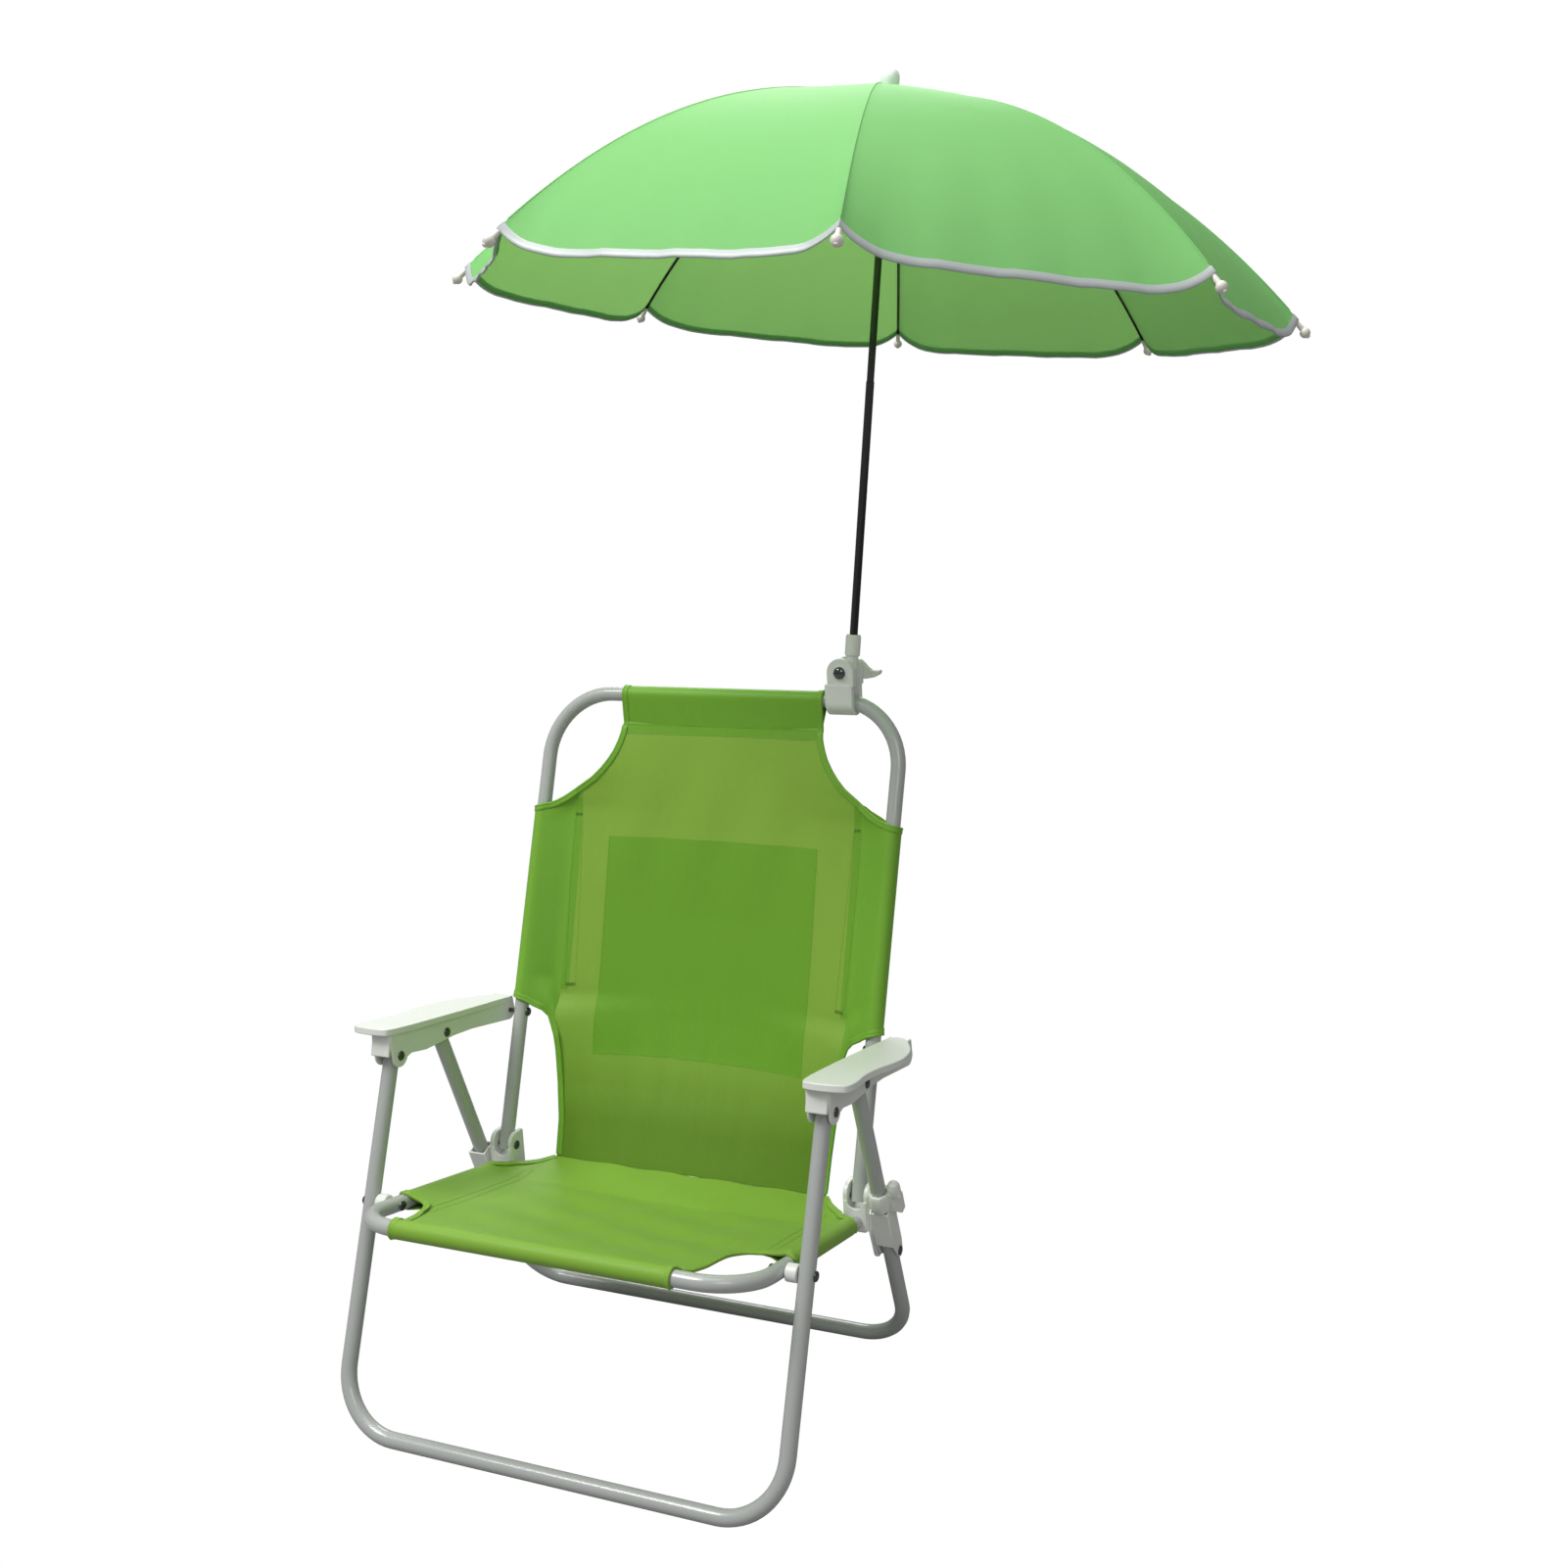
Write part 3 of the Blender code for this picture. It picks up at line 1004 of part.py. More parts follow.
def build_socket():
    """The foot of the pole: an eye on the clamp's bolt, a neck, and the cup that holds the pole."""
    eye = CLAMP_MOUTH_HALF - GAP
    start, end = BOLT_POINT - Vector((0, eye, 0)), BOLT_POINT + Vector((0, eye, 0))
    socket = add_part("pole_socket", rod_mesh("pole_socket", start, end, EYE_RADIUS, BORE_STEPS), PALE_PLASTIC)
    neck_radius = eye - SOCKET_START * POLE_LEAN_Y_SHARE - GAP
    neck = rod_mesh("neck", (0, 0, 0), (0, 0, SOCKET_START + GAP * 4), neck_radius, BORE_STEPS)
    neck.transform(UMBRELLA)
    boolean(socket, add_cutter("socket_neck", neck), "UNION")
    r, bevel = SOCKET_RADIUS, SOCKET_RADIUS / 8
    profile = [(0, SOCKET_START), (r, SOCKET_START), (r, SOCKET_TOP - bevel), (r - bevel, SOCKET_TOP), (0, SOCKET_TOP)]
    cup = turned_mesh("cup", profile, (0, 0, 0), (0, 0, 1), BORE_STEPS)
    cup.transform(UMBRELLA)
    boolean(socket, add_cutter("socket_cup", cup), "UNION")
    start, end = (0, 0, SOCKET_TOP - SOCKET_DEPTH - GAP), (0, 0, SOCKET_TOP + CUT_OVERRUN)
    bore = rod_mesh("bore", start, end, POLE_RADIUS + GAP, BORE_STEPS)
    bore.transform(UMBRELLA)
    boolean(socket, add_cutter("socket_bore", bore))
    start, end = BOLT_POINT - Vector((0, eye * 2, 0)), BOLT_POINT + Vector((0, eye * 2, 0))
    boolean(socket, add_cutter("socket_eye", rod_mesh("eye", start, end, BOLT_RADIUS + GAP, BORE_STEPS)))


def build_pole():
    top = APEX + FERRULE_HEIGHT * 0.6
    pole = rod_mesh("pole", (0, 0, SOCKET_TOP - SOCKET_DEPTH), (0, 0, top), POLE_RADIUS, BORE_STEPS)
    add_umbrella_part("pole", pole, CHROME)


def bored(name, profile):
    """A turned piece with the pole's hole through it."""
    inner = POLE_RADIUS + GAP
    low, high = profile[0][1], profile[-1][1]
    ring = [(inner, low)] + list(profile) + [(inner, high), (inner, low)]
    return turned_mesh(name, ring, (0, 0, 0), (0, 0, 1), BORE_STEPS)


def build_crown_and_ferrule():
    top = APEX - CANOPY_THICKNESS / 2 - GAP * 2
    r, low = CROWN_RADIUS, top - CROWN_HEIGHT
    crown = bored("canopy_crown", [(r * 0.8, low - CROWN_HEIGHT / 2), (r, low), (r, top)])
    add_umbrella_part("canopy_crown", crown, PALE_PLASTIC)
    low = APEX + CANOPY_THICKNESS / 2 + GAP * 2
    r, high = FERRULE_RADIUS, APEX + FERRULE_HEIGHT
    profile = [(0, low), (r, low), (r, high - r * 0.6), (r * 0.85, high - r * 0.2), (r * 0.5, high), (0, high)]
    ferrule = turned_mesh("canopy_ferrule", profile, (0, 0, 0), (0, 0, 1), BORE_STEPS)
    ferrule = add_umbrella_part("canopy_ferrule", ferrule, PALE_PLASTIC)
    hole = rod_mesh("hole", (0, 0, low - CUT_OVERRUN), (0, 0, APEX + FERRULE_HEIGHT * 0.6 + GAP), POLE_RADIUS + GAP, BORE_STEPS)
    hole.transform(UMBRELLA)
    boolean(ferrule, add_cutter("ferrule_hole", hole))


def joint_radius():
    """Where the stretchers hold the ribs: as far from the hub's pivot as a stretcher is long."""
    low, high = HUB_PIVOT_RADIUS, HUB_PIVOT_RADIUS + STRETCHER_LENGTH
    for _ in range(HALVINGS):
        middle = (low + high) / 2
        away = Vector((middle - HUB_PIVOT_RADIUS, rib_axis(middle) - rib_axis(HUB_PIVOT_RADIUS)))
        low, high = (middle, high) if away.length < STRETCHER_LENGTH else (low, middle)
    return (low + high) / 2


JOINT_RADIUS = joint_radius()
STRETCHER_FOOT = 2 * rib_axis(JOINT_RADIUS) - rib_axis(HUB_PIVOT_RADIUS)


def build_runner():
    rim, body, length = RUNNER_RIM_RADIUS, RUNNER_BODY_RADIUS, RUNNER_LENGTH
    top = STRETCHER_FOOT + length / 8
    profile = [(rim, top - length), (rim, top - length * 0.9), (body, top - length * 0.87)]
    profile += [(body, top - length / 3), (rim, top - length * 0.3), (rim, top)]
    add_umbrella_part("runner", bored("runner", profile), PALE_PLASTIC)


def cloth_radii():
    """Distances from the pole at which the cloth, and the ribs under it, change direction."""
    start, end = GORE_START_RADIUS, RIM_RADIUS - RIB_TIP_BALL - GAP * 2
    return [start + (end - start) * share for share in GORE_ROW_SHARES]


def build_rib(number):
    name = f"rib_{number + 1}"
    start = CROWN_RADIUS + GAP * 2
    radii = [start] + [radius for radius in cloth_radii() if radius > start * 2] + [RIM_RADIUS]
    points = [spoke(number, radius, rib_axis(radius)) for radius in radii]
    rib = add_umbrella_part(name, tube_mesh(name, points, RIB_RADIUS, 1), RIB_STEEL)
    bm = bmesh.new()
    bmesh.ops.create_uvsphere(bm, u_segments=10, v_segments=6, radius=RIB_TIP_BALL)
    bmesh.ops.translate(bm, vec=points[-1], verts=bm.verts)
    ball = mesh_from(bm, "tip")
    ball.transform(UMBRELLA)
    boolean(rib, add_cutter(f"{name}_tip", ball), "UNION")


def build_stretcher(number):
    name = f"stretcher_{number + 1}"
    aside = RIB_RADIUS + STRETCHER_RADIUS + GAP
    foot = spoke(number, HUB_PIVOT_RADIUS, STRETCHER_FOOT, aside)
    head = spoke(number, JOINT_RADIUS, rib_axis(JOINT_RADIUS), aside)
    under = Vector((0, 0, STRETCHER_RADIUS))
    add_umbrella_part(name, rod_mesh(name, foot - under, head - under, STRETCHER_RADIUS, 6), RIB_STEEL)


def gore_point(number, share, radius):
    """A point of one cloth panel: straight between its ribs, its hem hanging below."""
    left = spoke(number, radius, dome(radius))
    right = spoke(number + 1, radius, dome(radius))
    hang = (1 - abs(2 * share - 1) ** 4) * (radius / RIM_RADIUS) ** 9
    return left.lerp(right, share) - Vector((0, 0, HEM_DROP * hang))


def build_gore(number):
    name = f"gore_{number + 1}"
    grid = []
    for radius in cloth_radii():
        edge = GAP / (2 * radius * math.sin(math.pi / RIB_COUNT))
        shares = [edge + (1 - 2 * edge) * c / GORE_STEPS_ROUND for c in range(GORE_STEPS_ROUND + 1)]
        grid.append([gore_point(number, share, radius) for share in shares])
    mesh = sheet_mesh(name, grid, -CANOPY_THICKNESS / 2, CANOPY_THICKNESS / 2)
    add_umbrella_part(name, mesh, CANOPY_CLOTH)


def build_umbrella():
    build_clamp()
    build_bolt()
    build_lever()
    build_socket()
    build_pole()
    build_crown_and_ferrule()
    build_runner()
    for number in range(RIB_COUNT):
        build_rib(number)
        build_gore(number)
        build_stretcher(number)


def build_all():
    build_front_legs()
    build_rear_legs()
    build_back_frame()
    build_seat_frame()
    build_seat_spacers()
    build_arms()
    build_brackets()
    build_back_cloth()
    build_seat_cloth()
    build_umbrella()


build_all()
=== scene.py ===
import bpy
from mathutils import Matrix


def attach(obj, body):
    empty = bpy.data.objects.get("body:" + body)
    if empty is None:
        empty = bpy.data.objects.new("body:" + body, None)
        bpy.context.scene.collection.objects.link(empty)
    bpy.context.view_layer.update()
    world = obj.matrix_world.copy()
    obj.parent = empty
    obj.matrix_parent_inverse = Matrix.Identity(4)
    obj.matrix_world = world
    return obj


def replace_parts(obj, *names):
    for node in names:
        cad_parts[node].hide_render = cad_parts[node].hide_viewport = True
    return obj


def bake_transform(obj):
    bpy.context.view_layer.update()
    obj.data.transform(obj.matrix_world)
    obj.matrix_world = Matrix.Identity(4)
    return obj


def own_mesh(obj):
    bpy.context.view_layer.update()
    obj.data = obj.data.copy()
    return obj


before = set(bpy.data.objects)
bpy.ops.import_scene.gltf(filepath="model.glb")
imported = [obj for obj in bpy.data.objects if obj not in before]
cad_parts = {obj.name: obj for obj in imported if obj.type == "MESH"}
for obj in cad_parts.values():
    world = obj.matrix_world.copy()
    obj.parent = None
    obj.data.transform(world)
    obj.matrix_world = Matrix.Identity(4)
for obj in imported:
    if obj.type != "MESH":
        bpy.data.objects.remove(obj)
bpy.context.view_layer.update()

import bpy
import bmesh
import math
import numpy as np
from mathutils import Matrix, Vector

# Front legs
# One steel tube, painted white and bent to a U. It stands on the ground in front and turns on the seat
# rails' rivets; its top ends sit inside the arm rests. A slope below is y gained per z.

SHIFT = Vector((-0.1323, -0.3617, 0.0))
TUBE = 0.0065
LEG_HALF, LEG_INTO_ARM = 0.197, 0.008
FRONT_SLOPE, FRONT_BEND = 0.385, 0.052
FRONT_PIVOT = Vector((0.1112, 0.2897))
LINK = Vector((0.0414, 0.1134))
RAIL_PIVOT = FRONT_PIVOT - LINK


def chair_point(x, y, z):
    """A point in metres, x across from the middle plane, y back from the front foot bar, z up."""
    return Vector((x, y, z)) + SHIFT


def line_at(through, slope, z):
    return Vector((through[0] + slope * (z - through[1]), z))


def unit(slope):
    return Vector((slope, 1)).normalized()


def principled(name, colour, roughness, metallic=0.0, **inputs):
    made = bpy.data.materials.new(name)
    made.use_nodes = True
    shader = made.node_tree.nodes["Principled BSDF"]
    shader.inputs["Base Color"].default_value = (*colour, 1)
    shader.inputs["Roughness"].default_value = roughness
    shader.inputs["Metallic"].default_value = metallic
    for key, value in inputs.items():
        shader.inputs[key.replace("_", " ")].default_value = value
    return made


def node(tree, kind, **settings):
    made = tree.nodes.new(kind)
    for key, value in settings.items():
        setattr(made, key, value)
    return made


def bump_group(name, scale, detail, distance, stretch=(1, 1, 1)):
    """A shared bump from noise in object space: in, its strength; out, a normal."""
    group = bpy.data.node_groups.new(name, "ShaderNodeTree")
    group.interface.new_socket("Strength", in_out="INPUT", socket_type="NodeSocketFloat")
    group.interface.new_socket("Normal", in_out="OUTPUT", socket_type="NodeSocketVector")
    inside, outside = node(group, "NodeGroupInput"), node(group, "NodeGroupOutput")
    where = node(group, "ShaderNodeTexCoord")
    mapping = node(group, "ShaderNodeMapping")
    mapping.inputs["Scale"].default_value = stretch
    noise = node(group, "ShaderNodeTexNoise")
    noise.inputs["Scale"].default_value = scale
    noise.inputs["Detail"].default_value = detail
    bump = node(group, "ShaderNodeBump")
    bump.inputs["Distance"].default_value = distance
    group.links.new(where.outputs["Object"], mapping.inputs["Vector"])
    group.links.new(mapping.outputs["Vector"], noise.inputs["Vector"])
    group.links.new(noise.outputs["Fac"], bump.inputs["Height"])
    group.links.new(inside.outputs["Strength"], bump.inputs["Strength"])
    group.links.new(bump.outputs["Normal"], outside.inputs["Normal"])
    return group


def use_bump(material, group, strength):
    tree = material.node_tree
    holder = node(tree, "ShaderNodeGroup")
    holder.node_tree = group
    holder.inputs["Strength"].default_value = strength
    for shader in tree.nodes:
        if "Normal" in shader.inputs and shader.type in ("BSDF_PRINCIPLED", "BSDF_TRANSLUCENT"):
            tree.links.new(holder.outputs["Normal"], shader.inputs["Normal"])


def arc(centre, radius, start, end, steps):
    """Points of a round stretch in a plane, angles in degrees."""
    turns = [math.radians(start + (end - start) * i / steps) for i in range(steps + 1)]
    return [(centre[0] + radius * math.cos(t), centre[1] + radius * math.sin(t)) for t in turns]


def hoop(half, length, bend, foot, direction, steps=16):
    """A U in the chair frame: half width, leg length and bend radius; foot and direction are (y, z)."""
    flat = [(-half, length)] + arc((-half + bend, bend), bend, 180, 270, steps)
    flat += arc((half - bend, bend), bend, 270, 360, steps) + [(half, length)]
    return [chair_point(x, foot[0] + direction[0] * s, foot[1] + direction[1] * s) for x, s in flat]


def tube(name, points, radius, material, resolution=6):
    """A bent round bar through points of the row frame, with capped ends."""
    curve = bpy.data.curves.new(name, "CURVE")
    curve.dimensions = "3D"
    curve.bevel_depth = radius
    curve.bevel_resolution = resolution
    curve.use_fill_caps = True
    spline = curve.splines.new("POLY")
    spline.points.add(len(points) - 1)
    for target, point in zip(spline.points, points):
        target.co = (*point, 1)
    curve.materials.append(material)
    made = bpy.data.objects.new(name, curve)
    bpy.context.scene.collection.objects.link(made)
    return made


paint = principled("white_paint", (0.46, 0.48, 0.46), 0.30, Coat_Weight=0.6, Coat_Roughness=0.10)
use_bump(paint, bump_group("paint_skin", 900, 2, 0.0002), 0.12)
middle = (FRONT_PIVOT + RAIL_PIVOT) / 2
foot, head = line_at(middle, FRONT_SLOPE, TUBE), line_at(middle, FRONT_SLOPE, FRONT_PIVOT[1])
bend = hoop(LEG_HALF, (head - foot).length + LEG_INTO_ARM, FRONT_BEND, foot, unit(FRONT_SLOPE))
legs = tube("front_legs", bend, TUBE, paint)
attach(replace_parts(legs, "front_leg_frame"), "front_legs")

# Rear legs
# The second steel U, its bar on the ground behind. It hangs from the arm rests' middle rivets and
# runs through the leg guides.

REAR_SLOPE, REAR_BEND = -0.3588, 0.045
MIDDLE_PIVOT = Vector((0.1744, 0.2878))
foot = line_at(MIDDLE_PIVOT, REAR_SLOPE, TUBE)
bend = hoop(LEG_HALF, (MIDDLE_PIVOT - foot).length + LEG_INTO_ARM, REAR_BEND, foot, unit(REAR_SLOPE))
legs = tube("rear_legs", bend, TUBE, paint)
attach(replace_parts(legs, "rear_leg_frame"), "rear_legs")

# Seat frame
# A U of the same tube, open to the rear: the seat's front bar and two rails that fall a little and
# end in the brackets.

POST_HALF, SEAT_BEND = 0.174, 0.042
RAIL_FALL = -0.225
BAR_Y, RAIL_TIP = 0.0147, 0.2300


def rail(y):
    return Vector((y, RAIL_PIVOT[1] + RAIL_FALL * (y - RAIL_PIVOT[0])))


front = rail(BAR_Y)
along = Vector((1, RAIL_FALL)).normalized()
bend = hoop(POST_HALF, (rail(RAIL_TIP) - front).length, SEAT_BEND, front, along)
bar = tube("seat_frame_tube", bend, TUBE, paint)
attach(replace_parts(bar, "seat_frame"), "seat")

# Back frame
# An upside-down U of the same tube with wide corners. It turns on the bracket pins and on the arm
# rests' rear rivets.

BACK_SLOPE, BACK_BEND, TOP_HEIGHT = 0.355, 0.060, 0.5576
POST_PAST_PIVOT = 0.0045
REAR_PIVOT = Vector((0.2687, 0.2758))
POST_PIVOT = REAR_PIVOT - LINK
BACK_MIDDLE = (REAR_PIVOT + POST_PIVOT) / 2
TOP = line_at(BACK_MIDDLE, BACK_SLOPE, TOP_HEIGHT)
low = line_at(BACK_MIDDLE, BACK_SLOPE, POST_PIVOT[1])
bend = hoop(POST_HALF, (TOP - low).length + POST_PAST_PIVOT, BACK_BEND, TOP, -unit(BACK_SLOPE))
posts = tube("back_frame_tube", bend, TUBE, paint)
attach(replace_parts(posts, "back_frame"), "back")

# Seat spacers and rivets
# Turned plastic collars keep the front legs off the rails. A round-headed steel rivet goes through
# rail, collar and leg on each side.

SIDES = (("left", -1), ("right", 1))


def put(name, bm_or_mesh, material, smooth=40):
    """Makes an object at the origin from a bmesh or mesh in the row frame."""
    mesh = bm_or_mesh
    if isinstance(bm_or_mesh, bmesh.types.BMesh):
        bmesh.ops.recalc_face_normals(bm_or_mesh, faces=bm_or_mesh.faces)
        mesh = bpy.data.meshes.new(name)
        bm_or_mesh.to_mesh(mesh)
        bm_or_mesh.free()
    mesh.materials.clear()
    mesh.materials.append(material)
    made = bpy.data.objects.new(name, mesh)
    bpy.context.scene.collection.objects.link(made)
    if smooth:
        mesh.shade_smooth()
        mesh.set_sharp_from_angle(angle=math.radians(smooth))
    return made


def soften(made, width, segments=3, angle=40):
    """Rounds an object's edges."""
    step = made.modifiers.new("edge", "BEVEL")
    step.width = width
    step.segments = segments
    step.limit_method = "ANGLE"
    step.angle_limit = math.radians(angle)
    step.harden_normals = True
    return made


def turned(bm, profile, matrix, steps=32):
    """Adds a profile of (radius, height) points spun about the matrix's z axis."""
    part = bmesh.new()
    verts = [part.verts.new((radius, 0, height)) for radius, height in profile]
    edges = [part.edges.new(pair) for pair in zip(verts, verts[1:])]
    bmesh.ops.spin(part, geom=verts + edges, cent=(0, 0, 0), axis=(0, 0, 1), angle=math.tau, steps=steps,
                   use_merge=True)
    bmesh.ops.remove_doubles(part, verts=part.verts, dist=1e-6)
    bmesh.ops.transform(part, matrix=matrix, verts=part.verts)
    mesh = bpy.data.meshes.new("turned")
    part.to_mesh(mesh)
    part.free()
    bm.from_mesh(mesh)
    bpy.data.meshes.remove(mesh)


def aim(start, direction):
    """The matrix that stands the z axis on a point, along a direction."""
    turn = Vector((0, 0, 1)).rotation_difference(Vector(direction).normalized())
    return Matrix.Translation(start) @ turn.to_matrix().to_4x4()


def rivet(bm, start_x, end_x, pivot, side, heads=(True, True)):
    """Adds a rivet along x at a (y, z) pivot, its heads outside the two x levels."""
    head, rise = 0.0041, 0.0019
    dome = [(head, 0), (head, rise * 0.25), (head * 0.86, rise * 0.62), (head * 0.5, rise * 0.92),
            (0, rise)]
    for level, way, wanted in ((start_x, -1, heads[0]), (end_x, 1, heads[1])):
        if wanted:
            turned(bm, [(0, 0)] + dome, aim(chair_point(side * level, *pivot), (side * way, 0, 0)), 20)
    shank = [(0, 0), (0.002, 0), (0.002, abs(end_x - start_x)), (0, abs(end_x - start_x))]
    turned(bm, shank, aim(chair_point(side * start_x, *pivot), (side, 0, 0)), 12)


plastic = principled("pale_plastic", (0.82, 0.84, 0.79), 0.34)
use_bump(plastic, bump_group("moulded_skin", 500, 3, 0.0003), 0.10)
rivet_steel = principled("rivet_steel", (0.12, 0.12, 0.12), 0.24, 1.0)
for word, side in SIDES:
    bm = bmesh.new()
    ring = [(0, 0), (0.0071, 0), (0.0071, 0.0094), (0, 0.0094)]
    turned(bm, ring, aim(chair_point(side * 0.1808, *RAIL_PIVOT), (side, 0, 0)))
    collar = soften(put(f"spacer_{word}", bm, plastic), 0.0008, 2)
    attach(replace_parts(collar, f"seat_spacer_{word}"), "seat")
    bm = bmesh.new()
    rivet(bm, 0.1672, 0.2038, RAIL_PIVOT, side)
    pin = put(f"rail_rivet_{word}", bm, rivet_steel)
    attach(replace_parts(pin, f"seat_rivet_{word}"), "seat")

# Arm rests
# White mouldings: a paddle-shaped pad over an open channel that takes both legs, with a round lobe
# at the front rivet. Three rivets each: front leg, rear leg, back post.

TOP_FRONT, TOP_REAR = Vector((0.094, 0.3185)), Vector((0.279, 0.2870))
ALONG = (TOP_REAR - TOP_FRONT).normalized()
UPWARD = Vector((-ALONG[1], ALONG[0]))


def slab(bm, outline, low, high, place):
    """Adds an outline extruded from one level to another. place(a, b, level) gives the point."""
    face = bm.faces.new([bm.verts.new(place(a, b, low)) for a, b in outline])
    copied = bmesh.ops.extrude_face_region(bm, geom=[face])["geom"]
    push = place(*outline[0], high) - place(*outline[0], low)
    bmesh.ops.translate(bm, vec=push, verts=[v for v in copied if isinstance(v, bmesh.types.BMVert)])


def sideways(a, b, level):
    return chair_point(level, a, b)


def on_arm(x, s, up):
    point = TOP_FRONT + ALONG * s + UPWARD * up
    return chair_point(x, *point)


def smooth_loop(points, steps=5):
    """A closed smooth outline through points."""
    made = []
    count = len(points)
    for i in range(count):
        p = [Vector((*points[(i + k) % count], 0)) for k in (-1, 0, 1, 2)]
        for j in range(steps):
            t = j / steps
            q = 0.5 * (2 * p[1] + (p[2] - p[0]) * t + (2 * p[0] - 5 * p[1] + 4 * p[2] - p[3]) * t * t
                       + (3 * p[1] - p[0] - 3 * p[2] + p[3]) * t ** 3)
            made.append((q[0], q[1]))
    return made


PAD = [
    (0.1860, 0.0060), (0.1905, 0.0016), (0.2040, 0.0004), (0.2180, 0.0030), (0.2232, 0.0090),
    (0.2235, 0.0250), (0.2212, 0.0440), (0.2218, 0.0700), (0.2262, 0.1000), (0.2262, 0.1180),
    (0.2215, 0.1420), (0.2130, 0.1630), (0.2040, 0.1800), (0.1955, 0.1855), (0.1880, 0.1800),
    (0.1862, 0.1500), (0.1845, 0.1000), (0.1838, 0.0500), (0.1842, 0.0200),
]
SKIRT = [(0.1010, 0.3120), (0.1005, 0.2990), *arc(FRONT_PIVOT, 0.0098, 175, 335, 12), (0.1260, 0.2868),
         (0.1450, 0.2826), (0.1660, 0.2815), (0.1830, 0.2812), (0.2100, 0.2780),
         *arc(REAR_PIVOT, 0.0092, 250, 345, 8), (0.2752, 0.2880), (0.2000, 0.2950)]
for word, side in SIDES:
    bm = bmesh.new()
    outline = [(side * x, s) for x, s in smooth_loop(PAD)]
    slab(bm, outline, -0.0060, 0.0, on_arm)
    for inner, outer in ((0.1870, 0.1894), (0.2046, 0.2070)):
        slab(bm, SKIRT, side * inner, side * outer, sideways)
    lip = [(0.0085, -0.004), (0.0065, -0.0245), (0.0094, -0.0250), (0.0112, -0.004)]
    slab(bm, lip, side * 0.188, side * 0.206, lambda a, b, level: on_arm(level, a, b))
    arm = soften(put(f"arm_rest_{word}", bm, plastic), 0.0011, 3, 50)
    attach(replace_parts(arm, f"arm_{word}"), "arms")
    for name, pivot, inner, outer in (
        ("front", FRONT_PIVOT, 0.1870, 0.2070), ("middle", MIDDLE_PIVOT, 0.1870, 0.2070),
        ("rear", REAR_PIVOT, 0.1672, 0.1896),
    ):
        bm = bmesh.new()
        rivet(bm, inner, outer, pivot, side)
        pin = put(f"arm_{name}_pin_{word}", bm, rivet_steel)
        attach(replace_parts(pin, f"arm_{name}_rivet_{word}"), "arms")

# Seat brackets
# Mouldings on the rear ends of the rails: two ears with the back post's pin between them, a front
# wall notched for the post, and an outer plate that reaches down to the leg guide's pin.


def rearward(a, b, level):
    return chair_point(a, level, b)


def side_slab(bm, outline, low, high, side):
    slab(bm, outline, side * low, side * high, sideways)


REAR_DOWN = -unit(REAR_SLOPE)
GUIDE_PIVOT = MIDDLE_PIVOT + REAR_DOWN * (-2 * REAR_DOWN.dot(LINK))
EAR = [(0.2190, POST_PIVOT[1] - 0.0160), (0.2190, POST_PIVOT[1] + 0.0030),
       *arc((POST_PIVOT[0] + 0.0012, POST_PIVOT[1] + 0.0022), 0.0097, 170, 90, 8)]
EAR += [(0.2380, POST_PIVOT[1] + 0.0117), (0.2392, POST_PIVOT[1] + 0.0102),
        (0.2392, POST_PIVOT[1] - 0.0290), (0.2190, POST_PIVOT[1] - 0.0270)]
for word, side in SIDES:
    bm = bmesh.new()
    side_slab(bm, EAR, 0.1628, 0.1668, side)
    side_slab(bm, EAR, 0.1812, 0.1855, side)
    saddle = [(0.1640, POST_PIVOT[1] - 0.0275), (0.1640, POST_PIVOT[1] - 0.0010)]
    saddle += [(0.1740 + a, POST_PIVOT[1] - 0.0005 + b) for a, b in arc((0, 0), 0.0073, 180, 360, 14)]
    saddle += [(0.1840, POST_PIVOT[1] - 0.0010), (0.1840, POST_PIVOT[1] - 0.0275)]
    slab(bm, [(side * a, b) for a, b in saddle], 0.2180, 0.2202, rearward)
    floor = [(0.2186, POST_PIVOT[1] - 0.0284), (0.2392, POST_PIVOT[1] - 0.0290),
             (0.2392, POST_PIVOT[1] - 0.0100), (0.2186, POST_PIVOT[1] - 0.0100)]
    side_slab(bm, floor, 0.1650, 0.1830, side)
    plate = arc(GUIDE_PIVOT, 0.0080, 200, 365, 12)
    plate += [(0.2440, POST_PIVOT[1] - 0.0130), (0.2395, POST_PIVOT[1]), (0.2200, POST_PIVOT[1] - 0.0020),
              (0.2200, POST_PIVOT[1] - 0.0270)]
    side_slab(bm, plate, 0.1848, 0.1879, side)
    turned(bm, [(0, 0), (0.0062, 0), (0.0058, 0.0022), (0, 0.0024)],
           aim(chair_point(side * 0.1855, *POST_PIVOT), (side, 0, 0)))
    bracket = soften(put(f"bracket_{word}", bm, plastic), 0.0008, 2, 50)
    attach(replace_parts(bracket, f"seat_bracket_{word}"), "seat")
    bm = bmesh.new()
    rivet(bm, 0.1628, 0.1850, POST_PIVOT, side, (True, False))
    pin = put(f"back_pin_{word}", bm, rivet_steel)
    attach(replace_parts(pin, f"post_pin_{word}"), "seat")
    bm = bmesh.new()
    rivet(bm, 0.1848, 0.1900, GUIDE_PIVOT, side, (True, False))
    pin = put(f"leg_guide_pin_{word}", bm, rivet_steel)
    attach(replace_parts(pin, f"guide_pin_{word}"), "seat")

# Leg guides
# Channels that turn on the brackets and slide on the rear legs, open to the rear, with a rivet head
# outside.

AHEAD = Vector((-REAR_DOWN[1], REAR_DOWN[0])) * (-1 if -REAR_DOWN[1] > 0 else 1)


def on_leg(height, forward):
    point = GUIDE_PIVOT - REAR_DOWN * height + AHEAD * forward
    return (point[0], point[1])


